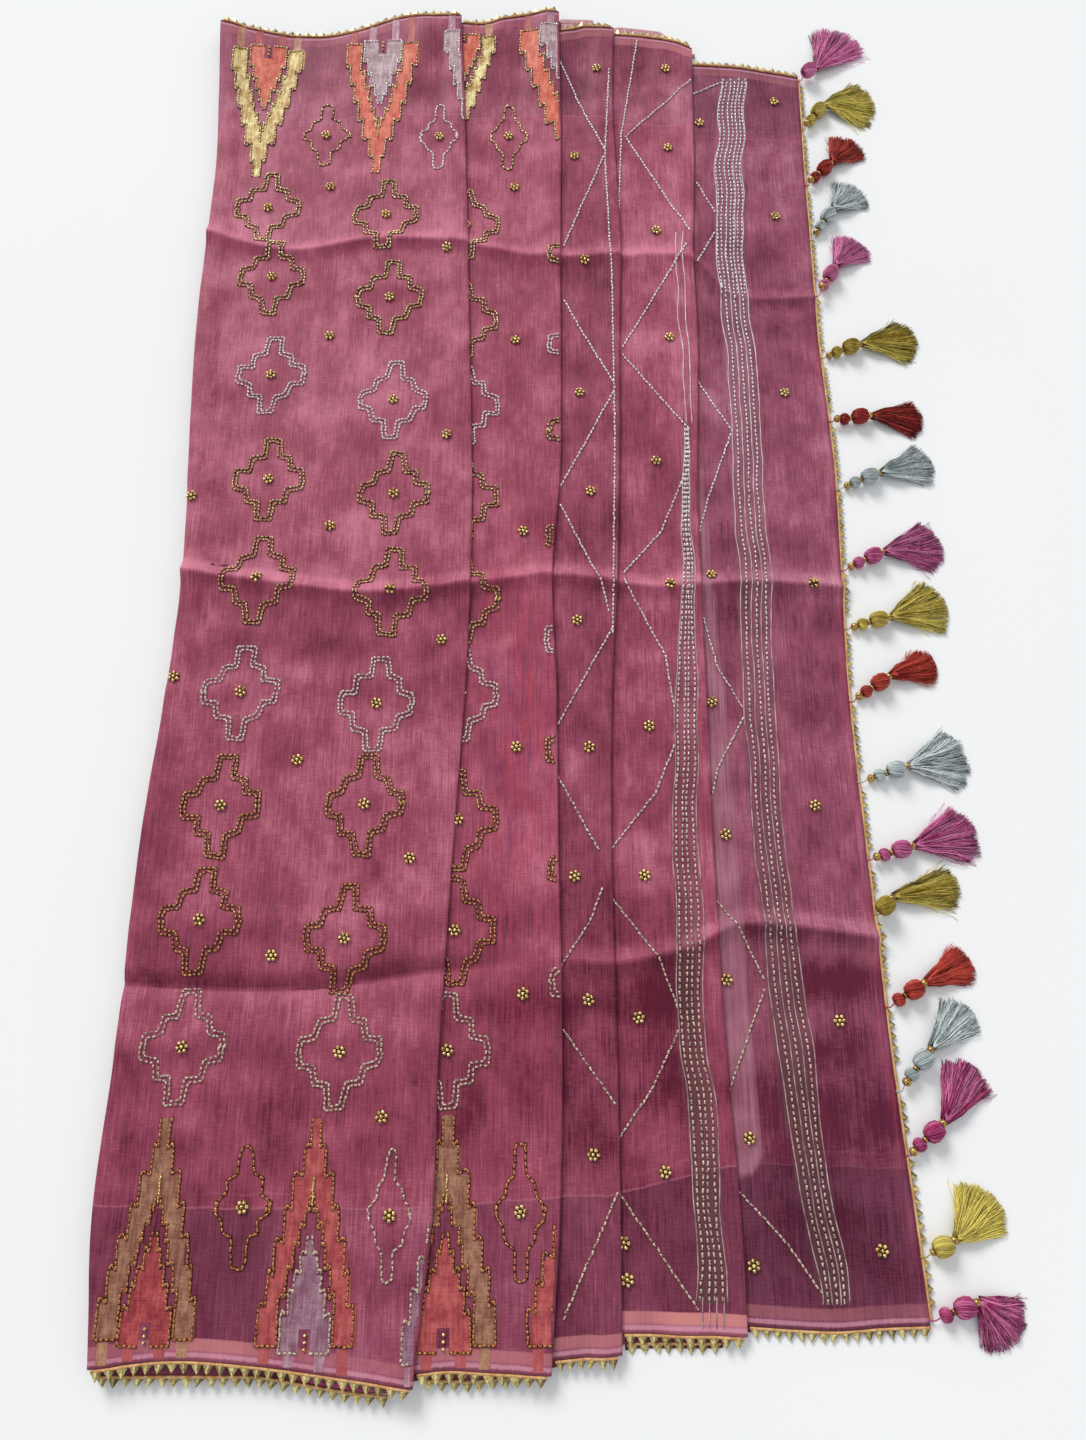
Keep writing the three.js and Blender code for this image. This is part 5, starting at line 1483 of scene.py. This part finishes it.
# a skirt: each thread leaves a tight round neck, spreads to its own direction in the fan,
# rises over the ones under it, sinks to the floor and waves a little
def skirtThreads(rng, neck, skirt, low, high, ownTone):
    count = threading["threads"]
    steps = threading["steps"]
    clumps = threading["clumps"]
    t = np.linspace(0, 1, steps)[None]
    clump = rng.integers(0, clumps, (count, 1))
    clumpSpread = (np.arange(clumps) + rng.uniform(0.1, 0.9, clumps)) / clumps
    clumpTone = rng.random(clumps)
    clumpDark = rng.random(clumps) ** 1.6
    clumpLength = rng.normal(1.0, 0.035, clumps)
    clumpLayer = rng.random(clumps)
    spread = clumpSpread[clump] + rng.normal(0, 0.24, (count, 1)) / clumps ** 0.72
    spread = np.clip(spread, 0.0, 1.0)
    middleAngle = np.radians((low + high) / 2)
    fanAngle = np.radians(low + (high - low) * (0.02 + 0.96 * spread))
    edgeness = np.abs(2 * spread - 1)
    length = skirt * (1 - 0.13 * edgeness ** 2) * (1.03 - 0.09 * rng.random((count, 1)) ** 2.5)
    length = np.minimum(length * clumpLength[clump], skirt * 1.05)
    layer = np.clip(0.7 * clumpLayer[clump] + 0.3 * rng.random((count, 1)), 0, 1)
    depth = 1 - layer
    out = length * t
    bend = ease(t, 0.0, 0.55)
    heading = middleAngle + (fanAngle - middleAngle) * (0.35 + 0.65 * bend)
    straightX = out * np.cos(fanAngle) * bend + out * np.cos(heading) * (1 - bend)
    straightY = out * np.sin(fanAngle) * bend + out * np.sin(heading) * (1 - bend)
    wavePhase = rng.random(clumps)[clump] * 6.3 + rng.normal(0, 0.5, (count, 1))
    waveSize = rng.uniform(0.2, 1.1, clumps)[clump]
    wave = waveSize * np.sin(t * rng.uniform(6, 11, (count, 1)) + wavePhase) * ease(t, 0.15, 0.3)
    wave = wave + rng.normal(0, 2.0, (count, 1)) * t ** 3
    neckSpread = threading["neckHalf"] * (2 * spread - 1) * (1 - t) + 0 * t
    sideX, sideY = -np.sin(fanAngle), np.cos(fanAngle)
    bulge = threading["bulge"] * np.sin(np.pi * np.clip(t * 2.2, 0, 1)) * (2 * spread - 1)
    px = neck[0] + straightX + sideX * (wave + neckSpread + bulge)
    py = neck[1] + straightY + sideY * (wave + neckSpread + bulge)
    sunk = ease(t, 0.25, 0.75)
    risen = threading["high"] + threading["rise"] * np.sin(np.pi * np.clip(t * 1.8, 0, 1))
    height = risen * (1 - sunk) + sunk * threading["lying"]
    rounded = np.sqrt(np.maximum(0.0, 1 - (edgeness * 0.92) ** 2))
    thick = threading["thick"] * (1 - 0.45 * t) * rounded
    pz = height * (1 - 0.25 * ease(t, 0.4, 0.6)) + thick * (2 * layer - 1)
    pz = np.maximum(pz + 0.3 * np.sin(t * 9 + wavePhase * 2), threading["strand"] + 0.1)
    paths = np.stack([px, py, pz], -1)
    taper = threading["strand"] * (1 - 0.35 * t) * rng.uniform(0.7, 1.5, (count, 1))
    strands = tubes(paths, taper, 3)
    tone = np.repeat(0.5 * clumpTone[clump][:, 0] + 1.1 * rng.random(count) ** 1.5 - 0.3
                     + ownTone, steps * 3)
    # a painted highlight that grows along each thread away from the root
    tone = tone + np.tile(np.repeat(0.3 * ease(t[0], 0.1, 0.5), 3), count)
    # painted shade on threads deep in the skirt, on darker clumps and on some threads at random
    deep = np.repeat(0.5 * clumpDark[clump][:, 0] + 0.9 * rng.random(count) ** 3
                     + 0.6 * (depth[:, 0] - 0.5) - 0.1 - 0.5 * ownTone, steps * 3)
    # painted shade at the roots, and a little towards the tips
    along = np.tile(np.repeat(0.45 * (1 - t[0]) ** 3 + 0.1 * t[0] ** 2, 3), count)
    return strands, tone, np.clip(deep + along, 0, 1)


# fine stray threads that curl away from the rest
def strayThreads(rng, neck, skirt, low, high):
    few = threading["strays"]
    s = np.linspace(0, 1, 12)[None]
    strayAngle = np.radians(rng.uniform(low - 4, high + 4, (few, 1)))
    strayLength = skirt * rng.uniform(0.6, 1.04, (few, 1))
    curl = rng.normal(0, threading["strayCurl"], (few, 1)) * s ** 2
    waveSize = rng.uniform(0.4, 1.3, (few, 1))
    waves = np.sin(s * rng.uniform(9, 16, (few, 1)) + rng.random((few, 1)) * 6)
    curl = curl + waveSize * waves * s
    sx = neck[0] + s * strayLength * np.cos(strayAngle) - np.sin(strayAngle) * curl
    sy = neck[1] + s * strayLength * np.sin(strayAngle) + np.cos(strayAngle) * curl
    sz = threading["strayHigh"] * (1 - s) + 1.6 * np.sin(np.pi * s) - 1.2 * s
    sz = np.maximum(sz, 0.5) + 0 * sx
    return tubes(np.stack([sx, sy, sz], -1), threading["strayStrand"], 3)


for number, (y, chain, turnBy, skirt, low, high, silk) in enumerate(tassels, start=1):
    rng = np.random.default_rng(100 + number)
    angle = np.radians(turnBy)
    axis = np.array([np.cos(angle), np.sin(angle), 0.0])
    start = np.array([float(endX(y)) + 1, y, 0.0])
    edgeTop = float(clothTop(5, endX(y), np.asarray(float(y)))) + 0.2
    neck = start + chain * axis
    neck[2] = threading["neckHeight"]
    ownTone = threading["tones"].get(number, 0.0)
    parts = []
    tones = []
    depths = []

    def keep(part, tone, depth):
        parts.append(part)
        tones.append(np.broadcast_to(tone, len(part[0])))
        depths.append(np.broadcast_to(depth, len(part[0])))

    threadPath = [np.array([start[0] - 1.6, y, edgeTop]),
                  np.array([start[0] + 2.6, y, edgeTop + 0.5])]
    for back, half, radius, kind in threaded(chain):
        centre = start + (chain - back) * axis
        clearOfEdge = centre[0] - radius > float(endX(y)) + threading["edgeWidth"]
        centre[2] = radius + 0.35 if clearOfEdge else edgeTop + 0.3 + radius
        if kind == "ring" and clearOfEdge:
            centre[2] = threading["ringHeight"]
        threadPath += [centre - half * axis, centre + half * axis]
        if kind == "wrapped":
            strands, core = wrappedBead(centre, axis, half, radius, rng)
            keep(strands, np.repeat(0.1 + 0.6 * rng.random(threading["wraps"]) + ownTone, 18),
                 np.repeat(0.1 + 0.4 * rng.random(threading["wraps"]) ** 2, 18))
            # the core, seen between the wraps, is painted dark as shade
            keep(core, 0.1, 0.75)
        else:
            shape = smoothBall if kind == "ball" else ringShape
            goldParts.append(copies(shape, centre[None], axis[None], np.array([[0, 0, 1.0]]),
                                    half, radius))
    threadPath.append(neck)
    keep(tubes(np.array(threadPath)[None], threading["cord"], 6), 0.3, 0.25)

    keep(*skirtThreads(rng, neck, skirt, low, high, ownTone))
    keep(strayThreads(rng, neck, skirt, low, high), 0.75 + ownTone, 0.0)
    points, faces = together(parts)
    piece = addPiece(f"{silk}Tassel{number:02d}", points, faces, finishes[silk],
                     attributes={"thread": np.concatenate(tones),
                                 "depth": np.concatenate(depths)})
    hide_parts(f"tassel_{number:02d}")

beadPiece = addPiece("tasselGoldBeads", *together(goldParts), finishes["goldBall"])

# the open end's edging, with no point where a bead lies
endLow, endHigh = hems["near"][4][-1] + edging["inset"], hems["far"][4][-1] - edging["inset"]


def endPlace(s, out, up):
    y = endLow + s
    z = clothTop(5, endX(y), y) - cloth["wall"] / 2
    return np.stack([endX(y) + edging["seam"] * 0.4 + out, y, z + up], -1)


def clearOfBeads(s):
    y = endLow + s
    for placeY, chain, turnBy, *_ in tassels:
        angle = np.radians(turnBy)
        for back, half, radius, kind in threaded(chain):
            bx = float(endX(placeY)) + 1 + (chain - back) * np.cos(angle)
            by = placeY + (chain - back) * np.sin(angle)
            out = bx - float(endX(y)) - edging["cord"] - edging["endTooth"]
            nearest = max(0.0, abs(by - y) - edging["pitch"] / 2)
            if np.hypot(max(out, 0.0), nearest) < max(radius, half) + 0.6:
                return False
    return True


cordPart, toothPart = edgingParts(endHigh - endLow, edging["endTooth"], endPlace, -1,
                                  clearOfBeads)
addEdging("openEnd", ["end_edging"], cordPart, toothPart)
print("tassels threaded")

# ---- what each sheet was cut to, in metres: worked out below and not kept
turnLength = 3                       # cloth round one turned edge, in millimetres
for k, piece in enumerate(stretchPieces, start=1):
    left, right = sidesOf(k, np.linspace(-500, 500, 9))
    mean = float(np.mean(right - left))
    extra = 2 * (cloth["returnPly"] + turnLength) if k == 1 else 0
    if k > 1:
        extra = cloth["tuck"] + (cloth["returnPly"] + turnLength) * (k < 5)
    (mean + extra) / 1000
    ["under_folds"] if k < 5 else ["pallu_facing"]

# ---- floor, lights and camera
studio = {
    "floor": (247, 248, 248), "floorGrain": (244, 245, 245), "floorSize": 6.0,
    "keyStrength": 2.1, "keySoftness": 24.0, "keyFrom": (1.0, -1.9, 1.5),
    "keyColour": (1.0, 0.985, 0.96), "fill": 0.62, "fillColour": (0.95, 0.97, 1.0, 1),
    "lens": 27.1, "tilt": 18.6, "camera": (0.0, -0.3986, 0.7906),
}
floorMesh = bpy.data.meshes.new("floor")
half = studio["floorSize"] / 2
floorMesh.from_pydata([(-half, -half, 0), (half, -half, 0), (half, half, 0), (-half, half, 0)],
                      [], [(0, 1, 2, 3)])
floor = bpy.data.objects.new("floor", floorMesh)
bpy.context.scene.collection.objects.link(floor)
floorFinish = Finish("paleFloor", Roughness=0.7, Specular_IOR_Level=0.2)
grain = floorFinish.noise((3, 3, 3), 2.0)
floorFinish.send("Base Color", floorFinish.between(grain, studio["floor"], studio["floorGrain"]))
floorMesh.materials.append(floorFinish.material)

# a broad lamp far away, so that the whole floor is lit alike; its softness is in degrees
lamp = bpy.data.lights.new("window", "SUN")
lamp.energy = studio["keyStrength"]
lamp.angle = float(np.radians(studio["keySoftness"]))
lamp.color = studio["keyColour"]
light = bpy.data.objects.new("window", lamp)
bpy.context.scene.collection.objects.link(light)
across, along, down = studio["keyFrom"]
light.rotation_euler = (float(np.arctan2(np.hypot(across, along), down)), 0,
                        float(np.arctan2(along, across) - np.pi / 2))
world = bpy.data.worlds.new("studio")
world.use_nodes = True
background = world.node_tree.nodes["Background"]
background.inputs["Color"].default_value = studio["fillColour"]
background.inputs["Strength"].default_value = studio["fill"]
bpy.context.scene.world = world
bpy.context.scene.view_settings.view_transform = "Standard"

lens = bpy.data.cameras.new("camera")
lens.lens = studio["lens"]
lens.sensor_width = 36
lens.clip_start = 0.01
camera = bpy.data.objects.new("camera", lens)
bpy.context.scene.collection.objects.link(camera)
camera.location = np.array(studio["camera"]) + shift / 1000
camera.rotation_euler = (float(np.radians(studio["tilt"])), 0, 0)
bpy.context.scene.camera = camera

print("studio set")
